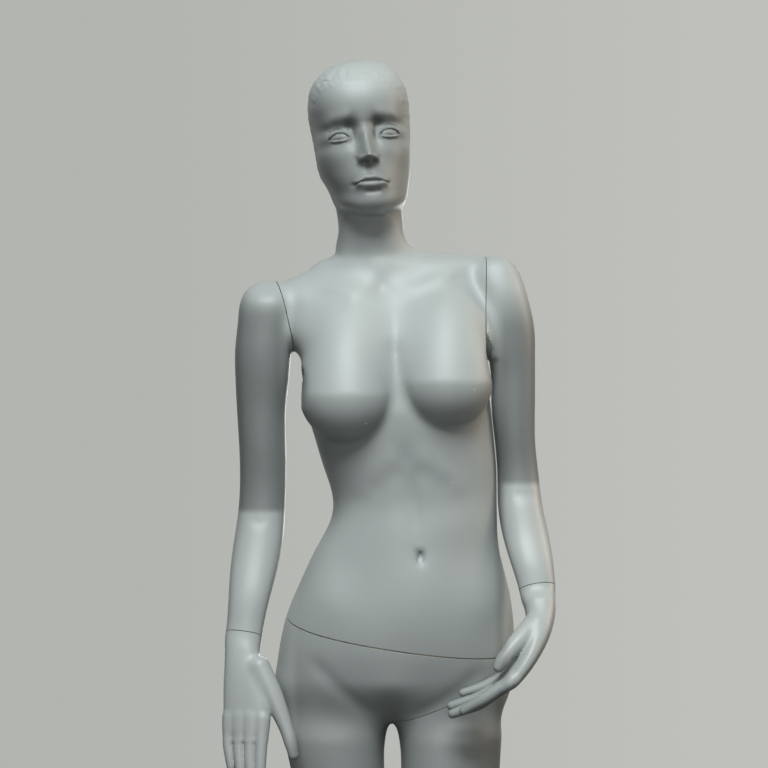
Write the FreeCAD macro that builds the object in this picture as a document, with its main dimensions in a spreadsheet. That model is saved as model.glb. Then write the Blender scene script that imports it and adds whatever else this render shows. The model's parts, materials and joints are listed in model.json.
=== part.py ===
"""Full body display mannequin on a round steel base, in millimetres.

The figure faces -Y and stands on the plane Z = 0; +X is its left side.  The origin is the
centre of the base's underside.  The fibreglass figure comes apart at the waist, the left hip,
both shoulders and both wrists; each cut is a plane with its own fitting frame, whose Z axis
is the direction in which the fitting points.
"""
import FreeCAD
import Part
import Sketcher
import os
from math import copysign, cos, pi, radians, sin

V = FreeCAD.Vector
doc = FreeCAD.newDocument("mannequin")

# ---- driving dimensions -------------------------------------------------------------------

DIMENSIONS = {
    # fibreglass skin and the saw-cut seams
    "skin_wall": 3.0, "seam_gap": 1.0, "plate_ease": 2.5,
    # base and calf rod
    "base_radius": 200, "base_thick": 6, "base_chamfer": 1.5,
    "pad_radius": 197, "pad_thick": 2,
    "flange_radius": 32, "flange_thick": 4, "boss_radius": 13, "boss_height": 22,
    "rod_radius": 6, "rod_length": 432, "rod_lean": 10, "rod_foot_x": -57, "rod_foot_y": 105,
    "running_gap": 0.05, "side_gap": 0.4,
    "socket_wall": 3, "socket_start": 255, "socket_end": 436, "stop_thick": 8,
    "knob_radius": 9, "knob_thick": 6, "knob_stem_radius": 3, "knob_stem_length": 14,
    "knob_height": 14,
    # wooden closing plates and the fittings in them
    "plate_thick": 12, "face_gap": 0.1,
    "post_radius": 14, "post_reach": 70, "post_flange_radius": 45, "post_flange_thick": 6,
    "socket_flange_radius": 40, "socket_flange_thick": 5, "waist_socket_wall": 4,
    "post_screw_ring": 36, "socket_screw_ring": 31, "socket_end_ease": 8,
    "peg_radius": 5, "peg_reach": 11, "peg_offset": 62,
    "hub_radius": 10, "hub_head_radius": 14, "hub_head_thick": 5, "keeper_radius": 20,
    "keeper_thick": 4, "spigot_side": 12, "spigot_flange_radius": 24, "spigot_flange_thick": 4,
    "wrist_plate_thick": 10, "wrist_hub_radius": 8, "wrist_head_radius": 11,
    "wrist_head_thick": 4, "wrist_keeper_thick": 3, "wrist_spigot_side": 7,
    "wrist_spigot_depth": 24,
    # keyhole hanger of the left leg
    "hanger_length": 74, "hanger_width": 92, "hanger_thick": 3, "stud_spread": 27,
    "stud_radius": 4, "stud_head_radius": 8, "stud_head_thick": 3, "unhook_travel": 18,
    "hip_plate_radius": 84,
    # countersunk screws: small in the hubs and sockets, large in the base
    "screw_radius": 2, "screw_head_radius": 4, "screw_length": 9,
    "spigot_screw_ring": 17, "base_screw_ring": 24, "round_face_ease": 6,
}

sheet = doc.addObject("Spreadsheet::Sheet", "dims")
for row, (alias, number) in enumerate(DIMENSIONS.items(), start=1):
    sheet.set("A%d" % row, alias)
    sheet.set("B%d" % row, str(number))
    sheet.setAlias("B%d" % row, alias)
doc.recompute()


def dim(alias):
    """The number in the sheet's cell of that name."""
    return float(sheet.get(alias))


WALL = dim("skin_wall")
HALF_GAP = dim("seam_gap") / 2
EASE = WALL + dim("plate_ease")

# ---- the figure's form --------------------------------------------------------------------
# Each row is one level section: height, centre x, centre y, half width, depth to the front,
# depth to the back.  The rows are where the form changes, at the real size.

TRUNK = [
    (862, -8, 10, 120, 56, 66), (876, -8, 5, 154, 68, 84), (900, -8, 0, 165, 76, 108),
    (930, -5, 0, 166, 86, 117), (974, -1, 0, 163, 92, 106), (1016, 3, 0, 156, 93, 86),
    (1058, 8, 0, 143, 89, 66), (1100, 13, 0, 128, 84, 50), (1142, 22, 0, 116, 79, 50),
    (1170, 23, 0, 114.5, 77, 58), (1210, 17, 0, 120, 83, 70), (1254, 8.5, 0, 125, 91, 84),
    (1310, -1, 0, 128.5, 97, 94), (1366, -5, 0, 131, 88, 99), (1400, -11, 0, 148, 76, 97),
    (1436, -16, 2, 156, 60, 88), (1466, -18, 6, 156, 46, 70), (1490, 8, 10, 130, 38, 56),
    (1505, 13, 14, 106, 28, 42), (1511, 14, 16, 70, 16, 28),
]
NECK = [
    (1462, -27, 14, 64, 48, 54), (1490, -31, 14, 57, 45, 52), (1515, -36, 10, 49, 44, 50),
    (1545, -38, 5, 45.5, 45, 50), (1580, -42, 5, 46, 50, 54), (1615, -46, 6, 48, 52, 58),
]
HEAD = [
    (1565, -40, -44, 24, 38, 36), (1574, -40, -28, 40, 62, 48), (1590, -40, -10, 52, 84, 54),
    (1604, -43, -4, 57, 92, 58), (1618, -46, 0, 62, 95, 62), (1646, -49, 0, 66, 93, 74),
    (1674, -52, 0, 68, 90, 88), (1702, -55, 0, 70.4, 95, 92), (1730, -56, 0, 69, 89, 88),
    (1744, -56, 0, 65, 83, 82), (1758, -56, 0, 57, 72, 72), (1772, -54, 0, 43, 54, 54),
    (1780, -54, 0, 28, 34, 36), (1784, -54, 0, 9, 11, 12),
]
RIGHT_ARM = [
    (1474, -180, 0, 9, 8, 8), (1468, -181, 0, 22, 20, 20), (1456, -182, 0, 34, 38, 38),
    (1420, -184.5, 0, 39.5, 47, 46), (1380, -189, 0, 39, 46, 46), (1340, -190.5, 2, 37.5, 43, 43),
    (1300, -192, 8, 34.5, 41, 41), (1240, -190.5, 12, 32.7, 38, 38),
    (1180, -190.5, 14, 32.2, 35, 36), (1150, -192, 12, 32.8, 36, 36),
    (1110, -196, 0, 34, 35, 36), (1070, -201.5, -18, 32.3, 32, 33), (1034, -206.5, -36, 28.5, 27, 27),
    (1000, -211, -48, 25.5, 21, 21), (960, -216, -62, 25, 18, 18),
]
LEFT_ARM = [
    (1512, 140, 3, 9, 9, 9), (1506, 140, 3, 22, 24, 24), (1490, 139, 2, 33.5, 37, 37),
    (1465, 143, 1, 38, 44, 44), (1436, 148, 1, 39, 46, 46), (1400, 152.5, 2, 38.5, 45, 45),
    (1375, 156, 3, 35.5, 43, 43), (1350, 160, 5, 31.5, 41, 41), (1310, 161, 7, 30.5, 39, 39),
    (1250, 163.8, 10, 28.2, 37, 37), (1200, 168.2, 10, 29, 36, 36), (1160, 170.7, -2, 31, 36, 36),
    (1120, 177, -20, 32, 33, 34), (1085, 183.8, -42, 29.5, 28, 29),
    (1046, 190.5, -62, 25, 21, 21), (1020, 193.5, -76, 23.5, 19, 19),
]
RIGHT_LEG = [
    (930, -84, 4, 64, 60, 76), (876, -90, 6, 76, 68, 82), (848, -89, 6, 73, 72, 78),
    (820, -88, 5, 68.5, 72, 71), (792, -85, 4, 65.5, 71, 66), (700, -79, 1, 58, 65, 61),
    (600, -72, -3, 50, 56, 53), (520, -66, -5, 44.5, 50, 45), (470, -63, -1, 41, 43, 46),
    (400, -60, 4, 43, 41, 52), (350, -58, 8, 42.5, 39, 50), (300, -56, 12, 38.5, 37, 45),
    (250, -53, 17, 32.5, 33, 37), (200, -51, 22, 27, 29, 30),
]
LEFT_LEG = [
    (980, 82, 0, 62, 60, 76), (930, 80, 2, 74, 72, 92), (876, 72, 2, 75, 72, 84),
    (848, 72, 0, 73, 74, 77), (820, 73, -4, 70, 75, 72), (792, 72.5, -8, 68.5, 75, 67),
    (700, 72, -20, 60, 66, 61), (600, 72, -34, 51, 57, 52), (520, 72, -42, 44.5, 50, 45),
    (470, 71, -39, 41, 43, 46), (400, 70, -32, 43, 41, 52), (350, 70, -27, 42.5, 39, 50),
    (300, 71, -22, 38.5, 37, 45), (250, 71, -17, 32.5, 33, 37), (200, 72, -12, 27, 29, 30),
]
# The raised-heel foot, about the upright line through the ankle, toes towards -Y.
FOOT = [
    (160, 0, 0, 26, 34, 30), (130, 0, -6, 28.5, 50, 40), (110, 0, -11, 30.5, 67, 55),
    (95, 0, -20, 32, 74, 66), (83, 0, -32, 33, 74, 70), (70, 0, -50, 34.5, 70, 58),
    (55, 0, -68, 37, 66, 46), (40, 0, -84, 40, 63, 40), (25, 0, -95, 41, 65, 34),
    (13, 0, -99, 39.5, 64, 27), (8.6, 0, -100, 35, 57, 20),
]
RIGHT_ANKLE = (-49, 27, -5)         # x, y, and how far the toes turn, in degrees about +Z
LEFT_ANKLE = (73, -9, 10)
BUST = [(-70, -74, 1313, 62), (67, -74, 1331, 62)]      # x, y, z, radius

SQUARENESS = 2.3                    # 2 is an ellipse
RING_POINTS = 24


def ring(station, inset, ankle=None):
    """One closed section; a foot's section is turned and moved to its ankle."""
    height, cx, cy, half_width, front, back = station
    points = []
    for k in range(RING_POINTS):
        angle = 2 * pi * k / RING_POINTS
        c, s = cos(angle), sin(angle)
        depth = (back if s > 0 else front) - inset
        x = cx + (half_width - inset) * copysign(abs(c) ** (2 / SQUARENESS), c)
        y = cy + depth * copysign(abs(s) ** (2 / SQUARENESS), s)
        if ankle:
            turn = radians(ankle[2])
            x, y = (ankle[0] + x * cos(turn) - y * sin(turn),
                    ankle[1] + x * sin(turn) + y * cos(turn))
        points.append(V(x, y, height))
    curve = Part.BSplineCurve()
    curve.interpolate(Points=points, PeriodicFlag=True,
                      Parameters=[k / RING_POINTS for k in range(RING_POINTS + 1)])
    return Part.Wire([curve.toShape()])


def level_loft(stations, inset=0.0, ankle=None, foot=(), ruled=False):
    """A closed solid through level sections: smooth, or ruled for the inside of a wall.

    The inside's end sections move in by the wall, and those that they pass are left out."""
    levels = list(stations) + list(foot)
    low, high = sorted((levels[0][0], levels[-1][0]))
    low, high = low + inset, high - inset
    rings = []
    for station in levels:
        if low < station[0] < high or station in (levels[0], levels[-1]):
            height = min(max(station[0], low), high)
            on_foot = ankle if station in foot else None
            rings.append(ring((height,) + station[1:], inset, on_foot))
    return Part.makeLoft(rings, True, ruled or inset > 0)


def joined(solids):
    """All the solids fused into one, one after another."""
    whole = solids[0]
    for solid in solids[1:]:
        whole = whole.fuse(solid)
    return whole


def upper_form(inset=0.0):
    bust = [Part.makeSphere(radius - inset, V(x, y, z)) for x, y, z, radius in BUST]
    return joined([level_loft(TRUNK, inset), level_loft(NECK, inset), level_loft(HEAD, inset)] + bust)


def right_lower_form(inset=0.0):
    return joined([level_loft(TRUNK[:14], inset),
                   level_loft(RIGHT_LEG, inset, RIGHT_ANKLE, FOOT)])


def left_lower_form(inset=0.0):
    return joined([level_loft(TRUNK[:14], inset),
                   level_loft(LEFT_LEG, inset, LEFT_ANKLE, FOOT)])


# ---- seam planes and fitting frames -------------------------------------------------------

def fitting_frame(origin, z_axis, x_hint):
    """A placement whose Z axis is z_axis, with X as near x_hint as it can be."""
    z_axis = V(*z_axis).normalize()
    y_axis = z_axis.cross(V(*x_hint)).normalize()
    x_axis = y_axis.cross(z_axis)
    return FreeCAD.Placement(V(*origin), FreeCAD.Rotation(x_axis, y_axis, z_axis, "ZXY"))


WAIST = fitting_frame((5, 5, 985.2), (0.146, -0.194, 0.970), (1, 0, 0))
HIP = fitting_frame((76, 0, 910.2), (-0.4, -0.222, 0.889), (0.855, 0.257, 0.449))
SHOULDER = {"right": fitting_frame((-158.1, 2, 1415), (-0.962, -0.154, -0.226), (0, 0, 1)),
            "left": fitting_frame((120.8, 3, 1440), (1, 0, -0.02), (0, 0, 1))}
WRIST = {"right": fitting_frame((-214, -53, 986), (-0.132, -0.359, -0.924), (1, 0, 0)),
         "left": fitting_frame((188.5, -64, 1051), (0.152, -0.447, -0.882), (1, 0, 0))}
SHOULDER_FACE = {"right": 72, "left": 78}       # radius of the round cut in the torso
ARM_STANDOFF = {"right": 0, "left": 8.4}        # arm's distance from the flank below its face
CROTCH_SPLIT = -8                               # x of the upright cut between the legs
ROD = FreeCAD.Placement(V(dim("rod_foot_x"), dim("rod_foot_y"), dim("pad_thick") + dim("base_thick")),
                        FreeCAD.Rotation(V(1, 0, 0), dim("rod_lean")))
FAR = 900
THROUGH = 30                                    # deeper than any plate or boss wall
SLOT_STEPS = 20                                 # drilled circles along a keyhole's slot


def slab(frame, low, high, size=FAR):
    """A square block in a fitting frame, from local height low to high."""
    block = Part.makeBox(2 * size, 2 * size, high - low, V(-size, -size, low))
    block.Placement = frame
    return block


def drum(frame, radius, low, high):
    """A cylinder in a fitting frame, from local height low to high."""
    block = Part.makeCylinder(radius, high - low, V(0, 0, low))
    block.Placement = frame
    return block


def leg_side(offset):
    """All that lies below the hip plane and left of the crotch split, moved in by offset."""
    under = slab(HIP, -FAR, -offset)
    left = Part.makeBox(FAR, 2 * FAR, 2 * FAR, V(CROTCH_SPLIT + offset, -FAR, -FAR / 2))
    return under.common(left)


# ---- sub-parts: shared ways of making them ------------------------------------------------

SUB_PARTS = []


def keep(label, shape, placement=None):
    """A sub-part whose shape is worked out here from the sheet's numbers."""
    feature = doc.addObject("Part::Feature", label)
    feature.Label = label
    feature.Shape = shape
    if placement:
        feature.Placement = placement
    SUB_PARTS.append(feature)
    return feature


def body(label, placement):
    made = doc.addObject("PartDesign::Body", label)
    made.Label = label
    made.Placement = placement
    SUB_PARTS.append(made)
    return made


def sketch(owner, height):
    """An empty sketch on the body's XY plane, at the height that an expression gives."""
    drawn = owner.newObject("Sketcher::SketchObject", "sketch")
    level = [o for o in owner.Origin.OriginFeatures if o.Role == "XY_Plane"][0]
    drawn.AttachmentSupport = [(level, "")]
    drawn.MapMode = "FlatFace"
    drawn.setExpression("AttachmentOffset.Base.z", height)
    return drawn


def circle(drawn, radius, x="0", y="0"):
    """A circle whose radius and centre follow expressions."""
    index = drawn.addGeometry(Part.Circle(V(0, 0, 0), V(0, 0, 1), 5), False)
    first = drawn.addConstraint(Sketcher.Constraint("Radius", index, 5))
    drawn.setExpression("Constraints[%d]" % first, radius)
    if x == "0" and y == "0":
        drawn.addConstraint(Sketcher.Constraint("Coincident", index, 3, -1, 1))
        return
    for kind, value in (("DistanceX", x), ("DistanceY", y)):
        number = drawn.addConstraint(Sketcher.Constraint(kind, -1, 1, index, 3, 1))
        drawn.setExpression("Constraints[%d]" % number, value)


def rectangle(drawn, width, length):
    """A centred rectangle whose sides follow expressions."""
    corners = [V(-5, -5, 0), V(5, -5, 0), V(5, 5, 0), V(-5, 5, 0)]
    for k in range(4):
        drawn.addGeometry(Part.LineSegment(corners[k], corners[(k + 1) % 4]), False)
    for k in range(4):
        drawn.addConstraint(Sketcher.Constraint("Coincident", k, 2, (k + 1) % 4, 1))
        drawn.addConstraint(Sketcher.Constraint("Vertical" if k % 2 else "Horizontal", k))
    drawn.addConstraint(Sketcher.Constraint("Symmetric", 0, 1, 1, 2, -1, 1))
    for side, value in ((0, width), (1, length)):
        number = drawn.addConstraint(Sketcher.Constraint("Distance", side, 10))
        drawn.setExpression("Constraints[%d]" % number, value)


def pad(owner, drawn, length):
    feature = owner.newObject("PartDesign::Pad", "pad")
    feature.Profile = drawn
    feature.setExpression("Length", length)
    return feature


def bore(owner, drawn):
    """A pocket right through the body, both ways from its sketch."""
    feature = owner.newObject("PartDesign::Pocket", "bore")
    feature.Profile = drawn
    feature.Type = 1
    feature.Midplane = True
    return feature


def turned(label, placement, steps, hole=None, square_hole=None):
    """A turned piece: (radius, start, length) steps along Z, with a round or square bore."""
    made = body(label, placement)
    for radius, start, length in steps:
        drawn = sketch(made, start)
        circle(drawn, radius)
        pad(made, drawn, length)
    if hole or square_hole:
        drawn = sketch(made, steps[0][1])
        if hole:
            circle(drawn, hole)
        else:
            rectangle(drawn, square_hole, square_hole)
        bore(made, drawn)
    return made


def screw_ring(label, frame, count, ring_radius, face, first_angle=0, down=True):
    """Countersunk screws on a circle, heads at local height face."""
    shank, head = dim("screw_radius"), dim("screw_head_radius")
    depth = head - shank
    way = V(0, 0, -1) if down else V(0, 0, 1)
    solids = []
    for k in range(count):
        angle = radians(first_angle + 360 * k / count)
        top = V(ring_radius * cos(angle), ring_radius * sin(angle), face)
        cone = Part.makeCone(head, shank, depth, top, way)
        stem = Part.makeCylinder(shank, dim("screw_length"), top, way)
        solids.append(cone.fuse(stem).removeSplitter())
    group = Part.makeCompound(solids)
    return keep(label, group, frame).Shape


def less(solid, *tools):
    for tool in tools:
        solid = solid.cut(tool)
    return solid


# ---- base and calf rod --------------------------------------------------------------------

FLANGE_SCREWS = 3
PLATE_SCREWS = 4


def base():
    """Steel disc on a rubber pad, with the flanged boss that holds the leaning rod."""
    ground = FreeCAD.Placement()
    turned("base_pad", ground, [("dims.pad_radius", "0", "dims.pad_thick")])
    plate = turned("base_plate", ground, [("dims.base_radius", "dims.pad_thick", "dims.base_thick")])
    drawn = sketch(plate, "dims.pad_thick")
    for k in range(FLANGE_SCREWS):
        angle = radians(90 + 360 * k / FLANGE_SCREWS)
        circle(drawn, "dims.screw_radius",
               "dims.rod_foot_x + dims.base_screw_ring * %g" % cos(angle),
               "dims.rod_foot_y + dims.base_screw_ring * %g" % sin(angle))
    drilled = bore(plate, drawn)
    doc.recompute()
    edges = drilled.Shape.Edges
    rim = max(range(len(edges)), key=lambda k: edges[k].CenterOfMass.z + edges[k].Length)
    chamfer = plate.newObject("PartDesign::Chamfer", "chamfer")
    chamfer.Base = (drilled, ["Edge%d" % (rim + 1)])
    chamfer.setExpression("Size", "dims.base_chamfer")
    foot = FreeCAD.Placement(ROD.Base, FreeCAD.Rotation())
    above = slab(foot, 0, FAR)
    boss = joined([drum(foot, dim("flange_radius"), 0, dim("flange_thick")),
                   drum(ROD, dim("boss_radius"), -THROUGH, dim("boss_height")).common(above)])
    rod_hole = drum(ROD, dim("rod_radius"), -THROUGH, FAR)
    knob_hole = drum(KNOB, dim("knob_stem_radius") + dim("running_gap"), 0, THROUGH)
    screws = screw_ring("flange_screws", foot, FLANGE_SCREWS, dim("base_screw_ring"),
                        dim("flange_thick"), 90)
    keep("base_flange", less(boss, rod_hole, knob_hole, screws))


KNOB = FreeCAD.Placement(ROD.multVec(V(0, 0, dim("knob_height"))),
                         ROD.Rotation * FreeCAD.Rotation(V(1, 0, 0), -90))


def support_rod():
    """The rod, cut level where it meets the base plate."""
    foot = FreeCAD.Placement(ROD.Base, FreeCAD.Rotation())
    rod = drum(ROD, dim("rod_radius"), -THROUGH, dim("rod_length")).common(slab(foot, 0, FAR))
    keep("support_rod", rod)


def lock_screw():
    """Winged thumb screw that clamps the rod in its boss."""
    screw = turned("rod_lock_screw", KNOB,
                   [("dims.knob_stem_radius", "dims.rod_radius + dims.side_gap",
                     "dims.knob_stem_length")])
    drawn = sketch(screw, "dims.rod_radius + dims.knob_stem_length")
    rectangle(drawn, "2 * dims.knob_radius", "2 * dims.knob_stem_radius")
    pad(screw, drawn, "dims.knob_thick")


# ---- pelvis and right leg -----------------------------------------------------------------

def lower_body():
    """Pelvis and right leg shell with its calf socket and the plates that close it."""
    below_waist = slab(WAIST, -1.2 * FAR, -HALF_GAP)
    outer = right_lower_form()
    skin = outer.cut(right_lower_form(WALL)).common(below_waist).cut(leg_side(-HALF_GAP))
    tube_radius = dim("rod_radius") + dim("running_gap") + dim("socket_wall")
    tube = drum(ROD, tube_radius, dim("socket_start"), dim("socket_end")).common(outer)
    stop = drum(ROD, tube_radius, dim("socket_end"), dim("socket_end") + dim("stop_thick"))
    rod_hole = drum(ROD, dim("rod_radius") + dim("running_gap"), 0, dim("socket_end"))
    keep("pelvis_right_leg_shell", skin.cut(drum(ROD, tube_radius, 0, dim("socket_end"))))
    keep("calf_socket", tube.cut(rod_hole))
    keep("calf_socket_stop", stop)
    inside = right_lower_form(EASE)
    thick = dim("plate_thick")
    plate = inside.common(slab(WAIST, -HALF_GAP - thick, -HALF_GAP)).cut(leg_side(-HALF_GAP - thick - 1))
    peg_frame = WAIST.multiply(FreeCAD.Placement(V(dim("peg_offset"), 0, 0), FreeCAD.Rotation()))
    screws = screw_ring("waist_post_screws", WAIST, PLATE_SCREWS, dim("post_screw_ring"),
                        -HALF_GAP - thick - dim("post_flange_thick"), 45, down=False)
    keep("pelvis_top_plate", less(plate, drum(WAIST, dim("post_radius"), -THROUGH, THROUGH),
                                  drum(peg_frame, dim("peg_radius"), -THROUGH, THROUGH), screws))
    post = joined([drum(WAIST, dim("post_flange_radius"),
                        -HALF_GAP - thick - dim("post_flange_thick"), -HALF_GAP - thick),
                   drum(WAIST, dim("post_radius"), -HALF_GAP - thick, dim("post_reach"))])
    keep("waist_post", post.cut(screws))
    turned("waist_peg", peg_frame,
           [("dims.peg_radius", "-dims.seam_gap / 2 - dims.plate_thick",
             "dims.peg_reach + dims.plate_thick + dims.seam_gap / 2")])
    return inside


def hanger(inside):
    """Wooden hip plate with the steel keyhole plate let into its face."""
    low = HALF_GAP
    wood = inside.common(drum(HIP, dim("hip_plate_radius"), low, low + dim("plate_thick")))
    wood = wood.cut(slab(WAIST, -HALF_GAP - dim("plate_thick") - 1, FAR))
    keyhole = body("hip_keyhole_plate", HIP)
    drawn = sketch(keyhole, "dims.seam_gap / 2")
    rectangle(drawn, "dims.hanger_length", "dims.hanger_width")
    pad(keyhole, drawn, "dims.hanger_thick")
    for side in ("", "-"):
        spread = side + "dims.stud_spread"
        drawn = sketch(keyhole, "dims.seam_gap / 2")
        circle(drawn, "dims.stud_head_radius + 0.5", "dims.unhook_travel", spread)
        bore(keyhole, drawn)
        for step in range(SLOT_STEPS):
            drawn = sketch(keyhole, "dims.seam_gap / 2")
            circle(drawn, "dims.stud_radius + 2 * dims.running_gap",
                   "dims.unhook_travel * %g" % (step / SLOT_STEPS), spread)
            bore(keyhole, drawn)
    recess = Part.makeBox(dim("hanger_length"), dim("hanger_width"), dim("hanger_thick"),
                          V(-dim("hanger_length") / 2, -dim("hanger_width") / 2, low))
    recess.Placement = HIP
    slots = []
    for side in (-1, 1):
        wide = dim("stud_head_radius") + 1
        centre = V(0, side * dim("stud_spread"), 0)
        way = Part.makeBox(dim("unhook_travel"), 2 * wide, THROUGH, centre - V(0, wide, 0))
        ends = [Part.makeCylinder(wide, THROUGH, centre + V(x, 0, 0))
                for x in (0, dim("unhook_travel"))]
        slot = joined([way] + ends)
        slot.Placement = HIP
        slots.append(slot)
    keep("hip_plate", less(wood, recess, *slots))


# ---- left leg -----------------------------------------------------------------------------

def left_leg():
    """Left leg shell, its closing plate and the two shouldered studs that hang it."""
    side = leg_side(HALF_GAP)
    keep("left_leg_shell", left_lower_form().cut(left_lower_form(WALL)).common(side))
    thick = dim("plate_thick")
    disc = drum(HIP, dim("hip_plate_radius"), -HALF_GAP - thick, -HALF_GAP)
    plate = left_lower_form(EASE).common(disc).common(leg_side(HALF_GAP))
    studs, holes = [], []
    for way in (-1, 1):
        centre = V(0, way * dim("stud_spread"), 0)
        seat = HIP.multiply(FreeCAD.Placement(centre, FreeCAD.Rotation()))
        behind = HALF_GAP + dim("hanger_thick") + dim("side_gap")
        studs.append(joined([
            drum(seat, dim("stud_radius"), -HALF_GAP - thick, behind),
            drum(seat, dim("stud_head_radius"), behind, behind + dim("stud_head_thick"))]))
        holes.append(drum(seat, dim("stud_radius"), -THROUGH, THROUGH))
    keep("left_leg_plate", less(plate, *holes))
    keep("leg_hanger_studs", Part.makeCompound(studs))


# ---- torso with head ----------------------------------------------------------------------

def shoulder_cut(side, offset, radius):
    """The space outside a shoulder's round face, moved out by offset."""
    return drum(SHOULDER[side], radius, offset, 200)


def torso():
    """Torso and head shell, its bottom plate and waist socket, and two shoulder plates."""
    above_waist = slab(WAIST, HALF_GAP, FAR)
    skin = upper_form().cut(upper_form(WALL)).common(above_waist)
    inside = upper_form(EASE)
    for side in ("right", "left"):
        skin = skin.cut(shoulder_cut(side, -HALF_GAP, SHOULDER_FACE[side]))
        plate = inside.common(drum(SHOULDER[side], SHOULDER_FACE[side] - dim("round_face_ease"),
                                   -HALF_GAP - dim("plate_thick"), -HALF_GAP))
        gap = dim("running_gap")
        head_low = -HALF_GAP - dim("hub_head_thick")
        keep("shoulder_plate_" + side,
             less(plate, drum(SHOULDER[side], dim("hub_radius") + gap, -THROUGH, THROUGH),
                  drum(SHOULDER[side], dim("hub_head_radius") + gap, head_low, THROUGH)))
    keep("torso_head_shell", skin)
    thick = dim("plate_thick")
    peg_frame = WAIST.multiply(FreeCAD.Placement(V(dim("peg_offset"), 0, 0), FreeCAD.Rotation()))
    outer_radius = dim("post_radius") + dim("running_gap") + dim("waist_socket_wall")
    bore_radius = dim("post_radius") + dim("running_gap")
    screws = screw_ring("waist_socket_screws", WAIST, PLATE_SCREWS, dim("socket_screw_ring"),
                        HALF_GAP + thick + dim("socket_flange_thick"), 45)
    plate = inside.common(slab(WAIST, HALF_GAP, HALF_GAP + thick))
    peg_hole = drum(peg_frame, dim("peg_radius") + dim("running_gap"), -THROUGH, THROUGH)
    post_hole = drum(WAIST, outer_radius, -THROUGH, THROUGH)
    keep("torso_bottom_plate", less(plate, post_hole, screws, peg_hole))
    socket = joined([drum(WAIST, outer_radius, HALF_GAP, dim("post_reach") + dim("socket_end_ease")),
                     drum(WAIST, dim("socket_flange_radius"), HALF_GAP + thick,
                          HALF_GAP + thick + dim("socket_flange_thick"))])
    keep("waist_socket", less(socket, drum(WAIST, bore_radius, -THROUGH, FAR), screws))


def shoulder_swivel(side):
    """Hub that turns in the shoulder plate, held by a keeper on the inside."""
    square = "dims.spigot_side + 2 * dims.running_gap"
    seat = SHOULDER[side]
    hub_low = "-dims.seam_gap / 2 - dims.plate_thick - dims.side_gap"
    turned("shoulder_hub_" + side, seat,
           [("dims.hub_radius", hub_low,
             "dims.plate_thick - dims.hub_head_thick + dims.side_gap"),
            ("dims.hub_head_radius - dims.side_gap", "-dims.seam_gap / 2 - dims.hub_head_thick",
             "dims.hub_head_thick")], square_hole=square)
    turned("shoulder_keeper_" + side, seat,
           [("dims.keeper_radius", hub_low + " - dims.keeper_thick", "dims.keeper_thick")],
           square_hole=square)


# ---- arms and hands -----------------------------------------------------------------------

ARM_ROWS = {"right": RIGHT_ARM, "left": LEFT_ARM}


def arm(side):
    """Arm shell with its shoulder plate and square spigot, and the plate in the forearm's end."""
    rows = ARM_ROWS[side]
    seat, cuff = SHOULDER[side], WRIST[side]
    outward = slab(seat, HALF_GAP, FAR)
    if ARM_STANDOFF[side]:
        face = drum(seat, SHOULDER_FACE[side] - HALF_GAP, HALF_GAP, ARM_STANDOFF[side] + 1)
        outward = joined([face, slab(seat, ARM_STANDOFF[side], FAR)])
    above_wrist = slab(cuff, -FAR, -HALF_GAP)
    keep("arm_shell_" + side,
         level_loft(rows, ruled=True).cut(level_loft(rows, WALL)).common(outward).common(above_wrist))
    inside = level_loft(rows, EASE)
    thick = dim("plate_thick")
    half = dim("spigot_side") / 2
    hole = Part.makeBox(2 * half, 2 * half, 90, V(-half, -half, -45))
    hole.Placement = seat
    screws = screw_ring("arm_plate_screws_" + side, seat, PLATE_SCREWS,
                        dim("spigot_screw_ring"), HALF_GAP + thick + dim("spigot_flange_thick"), 45)
    face_radius = SHOULDER_FACE[side] - dim("round_face_ease")
    plate = inside.common(drum(seat, face_radius, HALF_GAP, HALF_GAP + thick))
    keep("arm_plate_" + side, less(plate, hole, screws))
    spigot = body("arm_spigot_" + side, seat)
    drawn = sketch(spigot, "dims.seam_gap / 2 - dims.seam_gap - dims.plate_thick"
                           " - dims.side_gap - dims.keeper_thick")
    rectangle(drawn, "dims.spigot_side", "dims.spigot_side")
    pad(spigot, drawn, "2 * dims.plate_thick + dims.seam_gap + dims.side_gap + dims.keeper_thick")
    drawn = sketch(spigot, "dims.seam_gap / 2 + dims.plate_thick")
    circle(drawn, "dims.spigot_flange_radius")
    pad(spigot, drawn, "dims.spigot_flange_thick")
    drawn = sketch(spigot, "dims.seam_gap / 2 + dims.plate_thick")
    for k in range(PLATE_SCREWS):
        angle = radians(45 + 360 * k / PLATE_SCREWS)
        circle(drawn, "dims.screw_head_radius", "dims.spigot_screw_ring * %g" % cos(angle),
               "dims.spigot_screw_ring * %g" % sin(angle))
    bore(spigot, drawn)
    end = inside.common(slab(cuff, -HALF_GAP - dim("wrist_plate_thick"), -HALF_GAP, 60))
    gap = dim("running_gap")
    keep("forearm_end_plate_" + side,
         less(end, drum(cuff, dim("wrist_hub_radius") + gap, -THROUGH, THROUGH),
              drum(cuff, dim("wrist_head_radius") + gap,
                   -HALF_GAP - dim("wrist_head_thick"), THROUGH)))


def wrist_swivel(side):
    """Small hub that turns in the forearm's end plate, with its keeper."""
    square = "dims.wrist_spigot_side + 2 * dims.running_gap"
    hub_low = "-dims.seam_gap / 2 - dims.wrist_plate_thick - dims.side_gap"
    turned("wrist_hub_" + side, WRIST[side],
           [("dims.wrist_hub_radius", hub_low,
             "dims.wrist_plate_thick - dims.wrist_head_thick + dims.side_gap"),
            ("dims.wrist_head_radius - dims.side_gap",
             "-dims.seam_gap / 2 - dims.wrist_head_thick", "dims.wrist_head_thick")],
           square_hole=square)
    turned("wrist_keeper_" + side, WRIST[side],
           [("dims.wrist_head_radius", hub_low + " - dims.wrist_keeper_thick",
             "dims.wrist_keeper_thick")], square_hole=square)


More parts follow.
